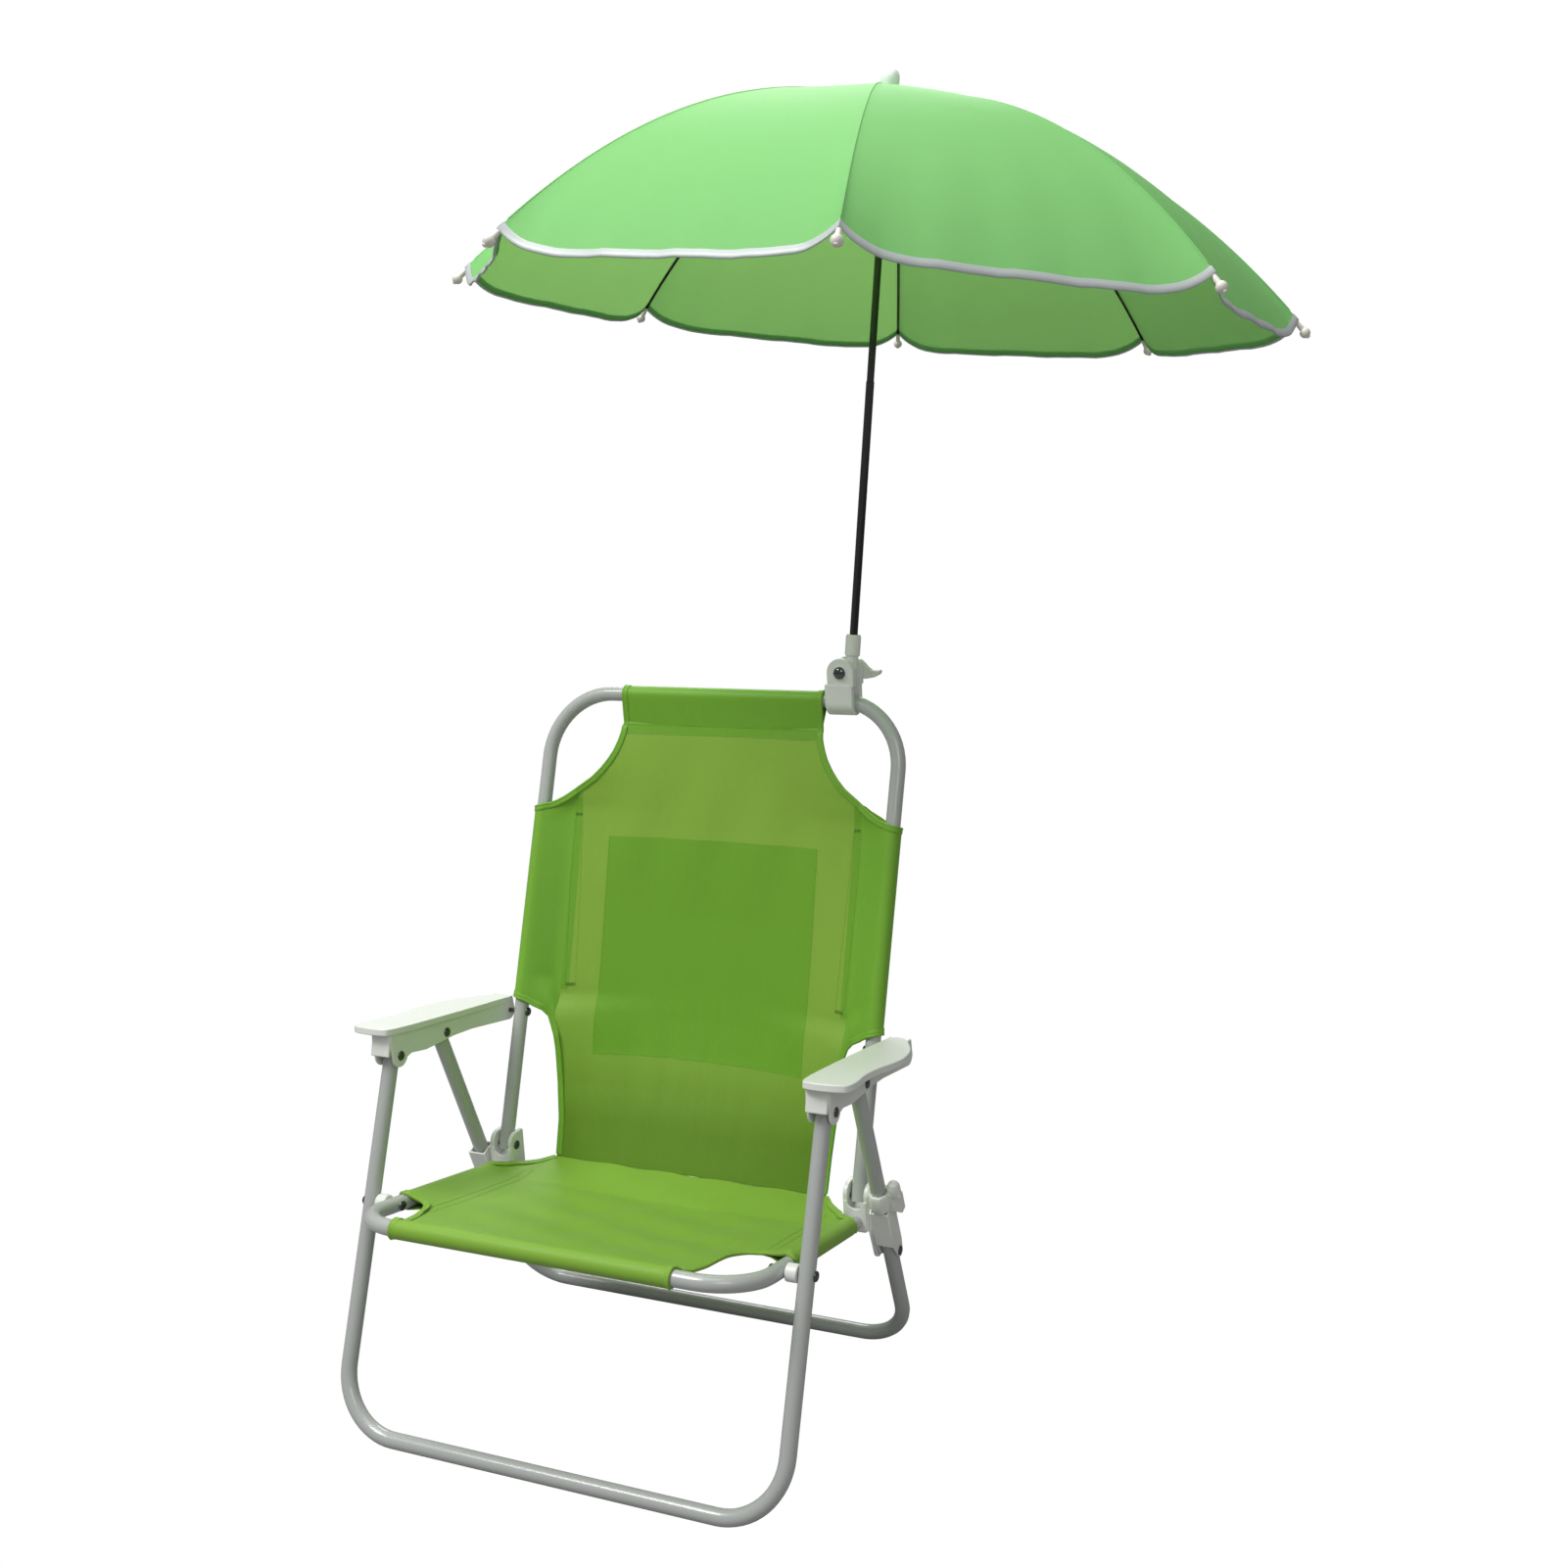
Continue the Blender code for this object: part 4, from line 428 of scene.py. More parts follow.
for word, side in SIDES:
    bm = bmesh.new()
    cheek = [on_leg(h, f) for h, f in (
        (-0.0074, 0.0), (-0.0030, 0.0040), (0.0110, 0.0087), (0.0478, 0.0088), (0.0490, 0.0076),
        (0.0490, -0.0070), (0.0474, -0.0084), (0.0060, -0.0084), (-0.0050, -0.0062), (-0.0072, -0.0030),
    )]
    for low, high in ((0.1883, 0.1902), (0.2038, 0.2057)):
        side_slab(bm, cheek, low, high, side)
    wall = [on_leg(h, f) for h, f in ((0.0110, 0.0068), (0.0110, 0.0087), (0.0486, 0.0087),
                                      (0.0486, 0.0068))]
    side_slab(bm, wall, 0.1890, 0.2050, side)
    rear = [on_leg(h, f) for h, f in ((0.014, -0.0084), (0.014, -0.0069), (0.0486, -0.0069),
                                      (0.0486, -0.0084))]
    side_slab(bm, rear, 0.1890, 0.2050, side)
    guide = soften(put(f"guide_{word}", bm, plastic), 0.0007, 2, 50)
    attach(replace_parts(guide, f"leg_guide_{word}"), "leg_guides")
    bm = bmesh.new()
    rivet(bm, 0.2050, 0.2057, GUIDE_PIVOT, side, (False, True))
    pin = put(f"guide_rivet_head_{word}", bm, rivet_steel)
    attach(pin, "leg_guides")

# Lock
# On the right leg only: a faceted collar that drops over the guide's top, with a thumb tab and knob.

bm = bmesh.new()
low, high = 0.0493, 0.0658
middle, bore = 0.1974, 0.0069
facets = [math.radians(22.5 + 45 * i) for i in range(8)]
rings = []
for height, radius in ((low, 0.0100), (low + 0.002, 0.0108), (high - 0.0015, 0.0108),
                       (high + 0.0012, 0.0094)):
    ring = []
    for turn in facets:
        y, z = on_leg(height, radius * math.sin(turn))
        ring.append(bm.verts.new(chair_point(middle + radius * 0.93 * math.cos(turn), y, z)))
    rings.append(ring)
hollow = []
for height in (low, high + 0.0012):
    ring = []
    for turn in facets:
        y, z = on_leg(height, bore * math.sin(turn))
        ring.append(bm.verts.new(chair_point(LEG_HALF + bore * math.cos(turn), y, z)))
    hollow.append(ring)
for a, b in ((rings[0], rings[1]), (rings[1], rings[2]), (rings[2], rings[3]), (rings[3], hollow[1]),
             (hollow[1], hollow[0]), (hollow[0], rings[0])):
    for i in range(8):
        bm.faces.new((a[i], a[(i + 1) % 8], b[(i + 1) % 8], b[i]))
tab = [(low + 0.0005, 0.0040), (high + 0.0022, 0.0040), (high + 0.0022, -0.0036), (low + 0.0005, -0.0036)]
slab(bm, [on_leg(h, f) for h, f in tab], 0.2052, 0.2172, sideways)
start = on_leg(high + 0.0010, 0.0)
rise = -REAR_DOWN
profile = [(0, 0), (0.0052, 0), (0.0055, 0.004), (0.0053, 0.0090), (0.0040, 0.0118), (0.0020, 0.0128),
           (0, 0.0130)]
turned(bm, profile, aim(chair_point(0.2116, *start), (0, rise[0], rise[1])))
lock = soften(put("leg_lock", bm, plastic, 30), 0.0006, 2, 30)
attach(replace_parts(lock, "lock_sleeve"), "lock")

# Chair cloth
# Lime nylon: a back and a seat sewn together at the hip. Sleeves go round the tubes, a pocket is sewn
# on the rear. Where two layers lie together (pocket, hem, sleeves) the colour is deeper; the shader
# finds those places from the attribute "rest", a point's place in the chair frame.

CLOTH = 0.0006
SLEEVE = TUBE + 0.0011
PANEL_EDGE, PANEL_TOP, TOP_SLEEVE_HALF = 0.1430, 0.5318, 0.0993
POST_SEAM, RAIL_SEAM, TOP_SEAM = 0.1365, 0.1390, 0.5235
HIP_Y, HIP_Z = 0.2485, 0.1460
POCKET_X, POCKET_HALF, POCKET_FOOT, POCKET_TOP = -0.004, 0.105, 0.2370, 0.4300


def cloth(name, colour, glow, share):
    """Thin nylon: its colour under a soft sheen, and a share of the light let through."""
    made = principled(name, colour, 0.5, Specular_IOR_Level=0.35, Sheen_Weight=0.15, Sheen_Roughness=0.4)
    tree = made.node_tree
    through = node(tree, "ShaderNodeBsdfTranslucent")
    through.inputs["Color"].default_value = (*glow, 1)
    both = node(tree, "ShaderNodeMixShader")
    both.inputs[0].default_value = share
    tree.links.new(tree.nodes["Principled BSDF"].outputs[0], both.inputs[1])
    tree.links.new(through.outputs[0], both.inputs[2])
    tree.links.new(both.outputs[0], tree.nodes["Material Output"].inputs["Surface"])
    return made


def reckon(tree, operation, *values):
    """A math node on sockets or numbers."""
    made = node(tree, "ShaderNodeMath", operation=operation)
    for socket, value in zip(made.inputs, values):
        if isinstance(value, bpy.types.NodeSocket):
            tree.links.new(value, socket)
        else:
            socket.default_value = value
    return made.outputs[0]


folds = bump_group("nylon_folds", 16, 5, 0.003, (3.0, 0.6, 0.35))
double = cloth("lime_nylon_double", (0.200, 0.460, 0.037), (0.40, 0.60, 0.06), 0.08)
use_bump(double, folds, 0.25)
seat_nylon = cloth("lime_nylon_seat", (0.265, 0.505, 0.052), (0.45, 0.62, 0.08), 0.15)
use_bump(seat_nylon, folds, 0.25)
single = cloth("lime_nylon_back", (0.33, 0.57, 0.078), (0.50, 0.66, 0.10), 0.30)
use_bump(single, folds, 0.25)
tree = single.node_tree
share = tree.nodes["Mix Shader"].inputs[0]
rest = node(tree, "ShaderNodeAttribute", attribute_name="rest")
parts = node(tree, "ShaderNodeSeparateXYZ")
tree.links.new(rest.outputs["Vector"], parts.inputs[0])
x, z = parts.outputs["X"], parts.outputs["Z"]
across = reckon(tree, "COMPARE", x, POCKET_X, POCKET_HALF)
upward = reckon(tree, "COMPARE", z, (POCKET_TOP + POCKET_FOOT) / 2, (POCKET_TOP - POCKET_FOOT) / 2)
pocket = reckon(tree, "MULTIPLY", across, upward)
hem = reckon(tree, "GREATER_THAN", z, TOP_SEAM)
strip = reckon(tree, "GREATER_THAN", reckon(tree, "ABSOLUTE", x), 0.136)
strip = reckon(tree, "MULTIPLY", strip, reckon(tree, "GREATER_THAN", z, 0.294))
layers = reckon(tree, "MAXIMUM", reckon(tree, "MAXIMUM", pocket, hem), strip)
# Painted shade: the back's colour fades to a darker green towards the hip. It starts at z 0.25 and is full
# below z 0.1786, standing in for the shade there.
low = reckon(tree, "MULTIPLY_ADD", z, -14.0, 3.5)
low = reckon(tree, "MINIMUM", reckon(tree, "MAXIMUM", low, 0.0), 1.0)
painted_shade = node(tree, "ShaderNodeMix", data_type="RGBA")
painted_shade.inputs[6].default_value = (0.33, 0.57, 0.078, 1)
painted_shade.inputs[7].default_value = (0.172, 0.335, 0.030, 1)
tree.links.new(low, painted_shade.inputs[0])
tone = node(tree, "ShaderNodeMix", data_type="RGBA")
tone.inputs[7].default_value = (0.178, 0.418, 0.028, 1)
tree.links.new(layers, tone.inputs[0])
tree.links.new(painted_shade.outputs[2], tone.inputs[6])
tree.links.new(tone.outputs[2], tree.nodes["Principled BSDF"].inputs["Base Color"])
tree.links.new(reckon(tree, "MULTIPLY_ADD", layers, -0.22, 0.30), share)
thread = principled("green_thread", (0.27, 0.49, 0.07), 0.6)


def read(table, key):
    """Linear reading of (key, value, ...) rows."""
    rows = sorted(table)
    keys = [row[0] for row in rows]
    return [float(np.interp(key, keys, [row[i] for row in rows])) for i in range(1, len(rows[0]))]


def sheet(name, rows, material, thick=CLOTH, smooth=180):
    """A cloth sheet over rows of points, with thickness and its rest attribute."""
    bm = bmesh.new()
    mark = bm.verts.layers.float_vector.new("rest")
    grid = [[bm.verts.new(point) for point in row] for row in rows]
    for row in grid:
        for vert in row:
            vert[mark] = vert.co - SHIFT
    for a, b in zip(grid, grid[1:]):
        for c in range(len(a) - 1):
            bm.faces.new((a[c], a[c + 1], b[c + 1], b[c]))
    bm.edges.index_update()
    rim = [edge.index for edge in bm.edges if edge.is_boundary]
    mesh = bpy.data.meshes.new(name)
    bm.to_mesh(mesh)
    bm.free()
    made = put(name, mesh, material, smooth)
    for index in rim:
        mesh.edges[index].use_edge_sharp = True
    step = made.modifiers.new("thick", "SOLIDIFY")
    step.thickness = thick
    step.offset = 0
    return made


def over_tube(start, depth, slope, end, end_depth):
    """Across a sleeve as (x, out): from the sheet over the tube's outer face and back under it."""
    ring = [(POST_HALF + SLEEVE * math.cos(t), SLEEVE * math.sin(t))
            for t in np.radians(np.linspace(116, -80, 24))]
    reach = ring[0][0] - start
    rise = reach * math.tan(math.radians(26))
    made = []
    for t in np.linspace(0, 0.9, 10):
        a, b, c, d = 2 * t**3 - 3 * t**2 + 1, t**3 - 2 * t**2 + t, 3 * t**2 - 2 * t**3, t**3 - t**2
        made.append((start + reach * t, -a * depth + b * slope * reach + c * ring[0][1] + d * rise))
    under = [(ring[-1][0] + (end - ring[-1][0]) * t, ring[-1][1] - (end_depth + ring[-1][1]) * t)
             for t in np.linspace(0.12, 1, 8)]
    return made + ring + under


def blend_back(made):
    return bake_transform(made)


BOW = ((0.5576, 0.0, 0.0), (0.5200, 0.004, 0.0), (0.4800, 0.011, 0.0), (0.4400, 0.018, 0.0),
       (0.3600, 0.029, 0.0), (0.2970, 0.035, 0.0), (0.2700, 0.0365, 0.006), (0.2430, 0.0365, 0.014),
       (0.2100, 0.035, 0.022), (0.1790, 0.031, 0.026), (0.1500, 0.0265, 0.0265), (0.1455, 0.0262, 0.0262))
EDGE = ((0.1455, 0.1345), (0.1500, 0.1350), (0.1790, 0.1360), (0.2050, 0.1385), (0.2300, 0.1400),
        (0.2450, 0.1412), (0.2550, 0.1425), (0.2650, 0.1450), (0.2720, 0.1485), (0.2780, 0.1540),
        (0.2840, 0.1650), (0.2900, 0.1740), (0.4546, 0.1740), (0.4600, 0.1640), (0.4660, 0.1520),
        (0.4740, 0.1405), (0.4840, 0.1260), (0.4920, 0.1180), (0.5000, 0.1115), (0.5080, 0.1065),
        (0.5160, 0.1030), (0.5240, 0.1005), (0.5320, 0.0996), (0.5640, 0.0993))


def back_at(x, z, away=0.0):
    """A point of the back cloth; away moves it to the rear."""
    bow, base = read(BOW, z)
    half = read(EDGE, z)[0]
    share = min(1.0, abs(x) / half)
    fade = math.sin(math.pi * min(1, max(0, (0.56 - z) / 0.25)))
    drape = 0.0008 * math.sin(x * 95 + 1.7 * math.sin(z * 21)) * fade
    drape += 0.0006 * math.sin(x * 163 + z * 30) * max(0, 1 - abs(z - 0.24) / 0.1)
    drape += 0.0009 * math.sin(x * 230 + 3 * math.sin(x * 37)) * max(0, 1 - abs(z - 0.20) / 0.07)
    y = line_at(BACK_MIDDLE, BACK_SLOPE, z)[0] + base + (bow - base) * (1 - share ** 2.4)
    return chair_point(x, y + drape * max(0, 1 - (abs(x) / 0.14) ** 4) + away, z - away * 0.3)


def half_at(z):
    return min(PANEL_EDGE, read(EDGE, z)[0])


levels = list(np.linspace(PANEL_TOP, 0.4680, 26)) + list(np.linspace(0.4660, 0.3000, 42))
levels += list(np.linspace(0.2960, 0.2660, 12)) + list(np.linspace(0.2620, HIP_Z, 34))
rows = [[back_at(half_at(z) * (2 * c / 56 - 1), z) for c in range(57)] for z in levels]
back = sheet("back_cloth_sheet", rows, single)
blend_back(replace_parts(back, "back_cloth"))

# The sleeve over the top bar, open at both ends, its rear edge sewn down in two rows.
spans = [TOP_SLEEVE_HALF * (2 * c / 40 - 1) for c in range(41)]
front, start = back_at(0, PANEL_TOP), chair_point(0, TOP[0] - SLEEVE, TOP[1])
rows = []
for t in np.linspace(0, 1, 9)[:-1]:
    rows.append([Vector((chair_point(x, 0, 0)[0], *front.lerp(start, t)[1:])) for x in spans])
for turn in np.radians(np.linspace(4, 210, 26)):
    rows.append([chair_point(x, TOP[0] - SLEEVE * math.cos(turn), TOP[1] + SLEEVE * math.sin(turn))
                 for x in spans])
rows += [[back_at(x, z, 0.0010) for x in spans] for z in (0.5330, 0.5280, 0.5230)]
top_rows = rows
top = sheet("back_top_sleeve", rows, double)
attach(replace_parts(top, "back_cloth"), "back")


# The side sleeves round the posts; their ends slant down to the tubes.
def post_y(z):
    return line_at(BACK_MIDDLE, BACK_SLOPE, z)[0]


def sleeve_top(x):
    return float(np.interp(abs(x), (0.143, 0.152, 0.164, 0.174, 0.183),
                           (0.4722, 0.4660, 0.4600, 0.4560, 0.4546)))


def sleeve_foot(x):
    return float(np.interp(abs(x), (0.143, 0.1485, 0.154, 0.165, 0.183),
                           (0.2570, 0.2720, 0.2780, 0.2845, 0.2900)))


def post_row(side, share):
    """A row of points across a post sleeve; share runs from its top to its foot."""
    def level(x, rear=False):
        low = max(0.2900, sleeve_foot(x)) if rear else sleeve_foot(x)
        return sleeve_top(x) + (low - sleeve_top(x)) * share

    z, z_rear = level(PANEL_EDGE), level(POST_SEAM, True)
    depth = [back_at(side * x, z)[1] - SHIFT[1] - post_y(z) for x in (PANEL_EDGE, POST_SEAM)]
    end_depth = back_at(side * POST_SEAM, z_rear)[1] - SHIFT[1] - post_y(z_rear) + 0.0010
    slope = (depth[1] - depth[0]) / (PANEL_EDGE - POST_SEAM)
    made = []
    for n, (x, out) in enumerate(over_tube(PANEL_EDGE, depth[0], slope, POST_SEAM, end_depth)):
        height = level(x, n > 26)
        tilt = out * 0.33 * min(1, max(0, (x - 0.160) / 0.01))
        made.append(chair_point(side * x, post_y(height) - out, height + tilt))
    return made


for word, side in SIDES:
    sleeve = sheet(f"back_sleeve_{word}", [post_row(side, i / 44) for i in range(45)], double)
    blend_back(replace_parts(sleeve, "back_cloth"))

# The pocket behind, its mouth at the top.
rows = [[back_at(POCKET_X + POCKET_HALF * (2 * c / 30 - 1), z, 0.0014) for c in range(31)]
        for z in np.linspace(POCKET_TOP, POCKET_FOOT, 25)]
blend_back(sheet("back_pocket", rows, double))

# Seat cloth
# The same cloth over the front bar and the two rails, hollowed a little, its rear edge sewn to the
# back's lower edge.

RAIL_END = 0.2018
SEAT_EDGE = {
    -1: ((BAR_Y, 0.1312), (0.0241, 0.1340), (0.0300, 0.1368), (0.0388, 0.1402), (0.0532, 0.1430),
         (0.0600, 0.1450), (0.2370, 0.1450), (HIP_Y, 0.1362)),
    1: ((BAR_Y, 0.1150), (0.0300, 0.1160), (0.0422, 0.1172), (0.0500, 0.1184), (0.0592, 0.1198),
        (0.0901, 0.1206), (0.0972, 0.1224), (0.1034, 0.1262), (0.1063, 0.1310), (0.1080, 0.1380),
        (0.1090, 0.1450), (0.2370, 0.1450), (HIP_Y, 0.1362))}
RAIL_FRONT = {-1: ((0.1450, 0.0600), (0.1478, 0.0695), (0.1515, 0.0780), (0.1559, 0.0828), (0.1602, 0.0828),
                   (0.1661, 0.0818), (0.1730, 0.0805), (0.1816, 0.0850)),
              1: ((0.1450, 0.1090), (0.1486, 0.1085), (0.1560, 0.1035), (0.1621, 0.0970), (0.1734, 0.0873),
                  (0.1789, 0.0855), (0.1816, 0.0870))}
RAIL_REAR = ((0.1450, 0.2370), (0.1500, 0.2320), (0.1607, 0.2200), (0.1660, 0.2110), (0.1720, 0.2045),
             (0.1830, RAIL_END))
SAG = ((BAR_Y, 0.0), (0.0700, 0.005), (0.1200, 0.008), (0.1750, 0.0075), (RAIL_END, 0.006), (HIP_Y, 0.0))
SEAT_PANEL = 0.1450


def seat_plane(y):
    """The height of the cloth's edges: along the rails, then to the seam with the back."""
    last = rail(RAIL_END)
    share = (y - RAIL_END) / (HIP_Y - RAIL_END)
    return rail(y)[1] if y < RAIL_END else last[1] + (HIP_Z - last[1]) * share


def seat_at(x, y, lift=0.0):
    """A point of the seat cloth; lift raises it."""
    ripple = 0.0009 * math.sin(x * 40 + y * 120) * math.sin(math.pi * min(1, y / 0.25))
    ripple += 0.0006 * math.sin(x * 110 - y * 60)
    sag = read(SAG, y)[0] * (1 - (abs(x) / POST_HALF) ** 2.4)
    z = seat_plane(y) - sag + ripple * max(0, 1 - (abs(x) / 0.14) ** 4)
    return chair_point(x, y, z + lift)


def seat_span(y, columns=56):
    """The x places of a row of the seat cloth, from its left edge to its right edge."""
    left, right = -read(SEAT_EDGE[-1], y)[0], read(SEAT_EDGE[1], y)[0]
    return [left + (right - left) * c / columns for c in range(columns + 1)]


depths = list(np.linspace(0.0400, 0.1095, 40)) + list(np.linspace(0.1130, 0.2370, 36))
depths += list(np.linspace(0.2390, HIP_Y, 6))
seat = sheet("seat_cloth_sheet", [[seat_at(x, y) for x in seat_span(y)] for y in depths], seat_nylon)
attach(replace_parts(seat, "seat_cloth"), "seat")

# The front goes over the bar and comes back under it.
rows = []
bar = rail(BAR_Y)
for turn in np.radians(np.linspace(-155, 118, 30)):
    rows.append([chair_point(x, bar[0] - SLEEVE * math.cos(turn), bar[1] + SLEEVE * math.sin(turn))
                 for x in seat_span(BAR_Y)])
leave = (bar[0] - SLEEVE * math.cos(turn), bar[1] + SLEEVE * math.sin(turn))
for t in np.linspace(0, 1, 7)[1:]:
    y = leave[0] + (0.0400 - leave[0]) * t
    rows.append([chair_point(x, y, leave[1] + (seat_at(x, 0.0400)[2] - leave[1]) * (1 - (1 - t) ** 1.3))
                 for x in seat_span(y)])
front_rows = rows
sleeve = sheet("seat_front_sleeve", rows, seat_nylon)
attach(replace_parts(sleeve, "seat_cloth"), "seat")


def rail_row(side, share):
    """A row of points across a rail sleeve; share runs from its front to its rear."""
    def place(x):
        front = read(RAIL_FRONT[side], x)[0]
        return front + (read(RAIL_REAR, x)[0] - front) * share

    y = place(SEAT_PANEL)
    depth = [seat_plane(y) - seat_at(side * x, y)[2] for x in (SEAT_PANEL, RAIL_SEAM)]
    slope = (depth[1] - depth[0]) / (SEAT_PANEL - RAIL_SEAM)
    made = []
    for x, out in over_tube(SEAT_PANEL, depth[0], slope, RAIL_SEAM, depth[1] + 0.0010):
        y = place(x)
        made.append(chair_point(side * x, y, seat_plane(y) + out))
    return made


for word, side in SIDES:
    sleeve = sheet(f"seat_sleeve_{word}", [rail_row(side, i / 32) for i in range(33)], seat_nylon)
    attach(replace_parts(sleeve, "seat_cloth"), "seat")

# Edge bindings and stitches
# A folded strip along every free edge, a bead at its outer side; two rows of stitches inside each
# sleeve, the pocket's outline, and the seam at the hip.


def framed(edge, inward):
    """For each point of an edge: the point, the way into the cloth, and the cloth's front side."""
    made = []
    for k, point in enumerate(edge):
        along = edge[min(k + 1, len(edge) - 1)] - edge[max(k - 1, 0)]
        into = Vector(inward[k])
        into = (into - along * into.dot(along) / along.length_squared).normalized()
        out = into.cross(along).normalized()
        made.append((point, into, out if out.dot(Vector((0, -1, 0.7))) > 0 else -out))
    return made


def binding(name, spots, material, width=0.0050):
    """A folded strip with a bead round a framed edge."""
    half = [(1.0, 0.0004), (0.93, 0.0007), (0.42, 0.0008), (0.30, 0.0007), (0.20, 0.0011), (0.0, 0.0012),
            (-0.09, 0.0008), (-0.13, 0)]
    loop = half + [(a, -b) for a, b in reversed(half[:-1])]
    return sheet(name, [[p + i * width * a + n * b for a, b in loop] for p, i, n in spots], material,
                 0.0004, 60)


def stitches(bm, path, pitch=0.0033, share=0.66, radius=0.0002):
    """Adds a dashed thread along a path of points."""
    lengths = [0.0]
    for a, b in zip(path, path[1:]):
        lengths.append(lengths[-1] + (b - a).length)
    total = lengths[-1]

    def at(s):
        s = min(max(s, 0), total)
        return Vector([float(np.interp(s, lengths, [p[i] for p in path])) for i in range(3)])

    for i in range(int(total / pitch)):
        a, b = at(i * pitch), at((i + share) * pitch)
        size = (b - a).length
        turned(bm, [(0, 0), (radius, size * 0.12), (radius, size * 0.88), (0, size)], aim(a, b - a), 5)


def on_binding(spots, width=0.0050):
    return [p + i * width * 0.68 + n * 0.0009 for p, i, n in spots]


upper, lower, seat_thread = bmesh.new(), bmesh.new(), bmesh.new()
for word, side in SIDES:
    edge = [row[0 if side < 0 else -1] for row in reversed(top_rows[:21])]
    path = [(read(EDGE, z)[0], z) for z in np.linspace(0.5290, 0.4720, 26)]
    edge += [back_at(side * x, z) for x, z in path]
    ways = [(-side, 0, 0)] * 21 + [(-side, 0, -max(0, 0.525 - z) * 18) for x, z in path]
    around = post_row(side, 0.0)[:30]
    spots = framed(edge + around, ways + [(0, -BACK_SLOPE, -1)] * len(around))
    strip = binding(f"scoop_binding_{word}", spots, double)
    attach(strip, "back")
    stitches(upper, on_binding(spots))
    path = [(read(EDGE, z)[0], z) for z in np.linspace(0.2550, 0.1480, 30)]
    edge = [back_at(side * x, z) for x, z in path]
    around = list(reversed(post_row(side, 1.0)[:30]))
    spots = framed(around + edge, [(0, BACK_SLOPE, 1)] * (len(around) - 6) + [(-side, BACK_SLOPE, 1)] * 6
                   + [(-side, 0, 0)] * len(path))
    blend_back(binding(f"hip_binding_{word}", spots, double))
    stitches(lower, on_binding(spots))
    last = SEAT_EDGE[side][-3][0]
    edge = [row[0 if side < 0 else -1] for row in front_rows[11:-1]]
    edge += [seat_at(side * read(SEAT_EDGE[side], y)[0], y) for y in np.linspace(0.0400, last - 0.0003, 30)]
    around = rail_row(side, 0.0)[:28]
    ways = [(-side, 0.2, 0)] * (len(edge) - 8) + [(-side, 1, 0)] * 8 + [(-side * 0.3, 1, 0)] * len(around)
    spots = framed(edge + around, ways)
    strip = binding(f"seat_front_binding_{word}", spots, seat_nylon)
    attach(strip, "seat")
    stitches(seat_thread, on_binding(spots))
    edge = [seat_at(side * read(SEAT_EDGE[side], y)[0], y) for y in np.linspace(0.2380, 0.2480, 6)]
    around = list(reversed(rail_row(side, 1.0)[:28]))
    spots = framed(around + edge, [(-side * 0.6, -1, 0)] * len(around) + [(-side, -0.5, 0)] * len(edge))
    strip = binding(f"seat_rear_binding_{word}", spots, seat_nylon)
    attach(strip, "seat")
    for top_x, foot_x in ((0.1455, 0.1392), (0.1360, 0.1300)):
        path = [(foot_x + (top_x - foot_x) * (z - 0.297) / 0.15, z)
                for z in np.linspace(0.4480, 0.2970, 50)]
        stitches(upper, [back_at(side * min(x, PANEL_EDGE), z, -0.0006 - 0.35 * max(0, x - PANEL_EDGE))
                         for x, z in path])
        for z in (0.2970, 0.4480):
            for n in range(4):
                ends = [(0.1300, 0.1392), (0.1360, 0.1450)][z > 0.4]
                stitches(upper, [back_at(side * x, z + n * 0.0007, -0.0005) for x in np.linspace(*ends, 5)],
                         0.0024, 0.9)
    for lean in (0.1400, 0.1480):
        path = [rail_row(side, t) for t in np.linspace(0.06, 0.90, 40)]
        near = [min(row[:12], key=lambda point: abs(abs(point[0] - SHIFT[0]) - lean)) for row in path]
        if lean < SEAT_PANEL:
            near = [seat_at(side * lean, row[0][1] - SHIFT[1]) for row in path]
        stitches(seat_thread, [point + Vector((0, 0, 0.0006)) for point in near])

for z in (0.5315, TOP_SEAM):
    stitches(upper, [back_at(x, z, -0.0006) for x in np.linspace(-0.095, 0.090, 60)])
made = put("back_stitches", upper, thread)
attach(made, "back")
stitches(lower, [back_at(x, 0.2385, -0.0005) for x in np.linspace(-0.108, 0.100, 60)])
for x in (-0.1080, 0.1000):
    stitches(lower, [back_at(x, z, -0.0005) for z in np.linspace(0.4300, 0.2385, 70)])
stitches(lower, [back_at(x, 0.1480, -0.0008) for x in np.linspace(-0.132, 0.132, 60)])
blend_back(put("pocket_stitches", lower, thread))
stitches(seat_thread, [seat_at(x, 0.0420, 0.0004) for x in np.linspace(-0.130, 0.115, 60)])
made = put("seat_stitches", seat_thread, thread)
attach(made, "seat")

# Umbrella clamp, bolt and lever
# A white block hooked under the top bar where it begins to bend, two rounded cheeks above it, a
# domed bolt through them and a curved wing nut behind.

BOLT = Vector((0.1195, TOP[0], TOP[1] + 0.0260))
chrome = principled("chrome", (0.15, 0.155, 0.155), 0.12, 1.0)

bm = bmesh.new()
brow = TOP[1] + 0.0157
hook = [(TOP[0] - 0.0125, brow), *arc(TOP, 0.0125, 180, 360, 28), (TOP[0] + 0.0125, brow)]
hook += [(TOP[0] + 0.0066, brow), *arc(TOP, 0.0067, 12, -192, 28), (TOP[0] - 0.0066, brow)]
slab(bm, hook, 0.1047, 0.1303, sideways)
block = soften(put("clamp_hook", bm, plastic), 0.0010, 3, 50)
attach(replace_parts(block, "bar_clamp"), "back")
bm = bmesh.new()
face = [(0.1073, TOP[1] + 0.0140), (0.1317, TOP[1] + 0.0140)] + arc((BOLT[0], BOLT[2]), 0.0122, -4, 184, 24)
for low, high in ((-0.0122, -0.0064), (0.0064, 0.0122)):
    slab(bm, face, TOP[0] + low, TOP[0] + high, rearward)
ring = [(0.0, 0.0), (0.0068, 0.0), (0.0066, 0.0008), (0.0, 0.0008)]
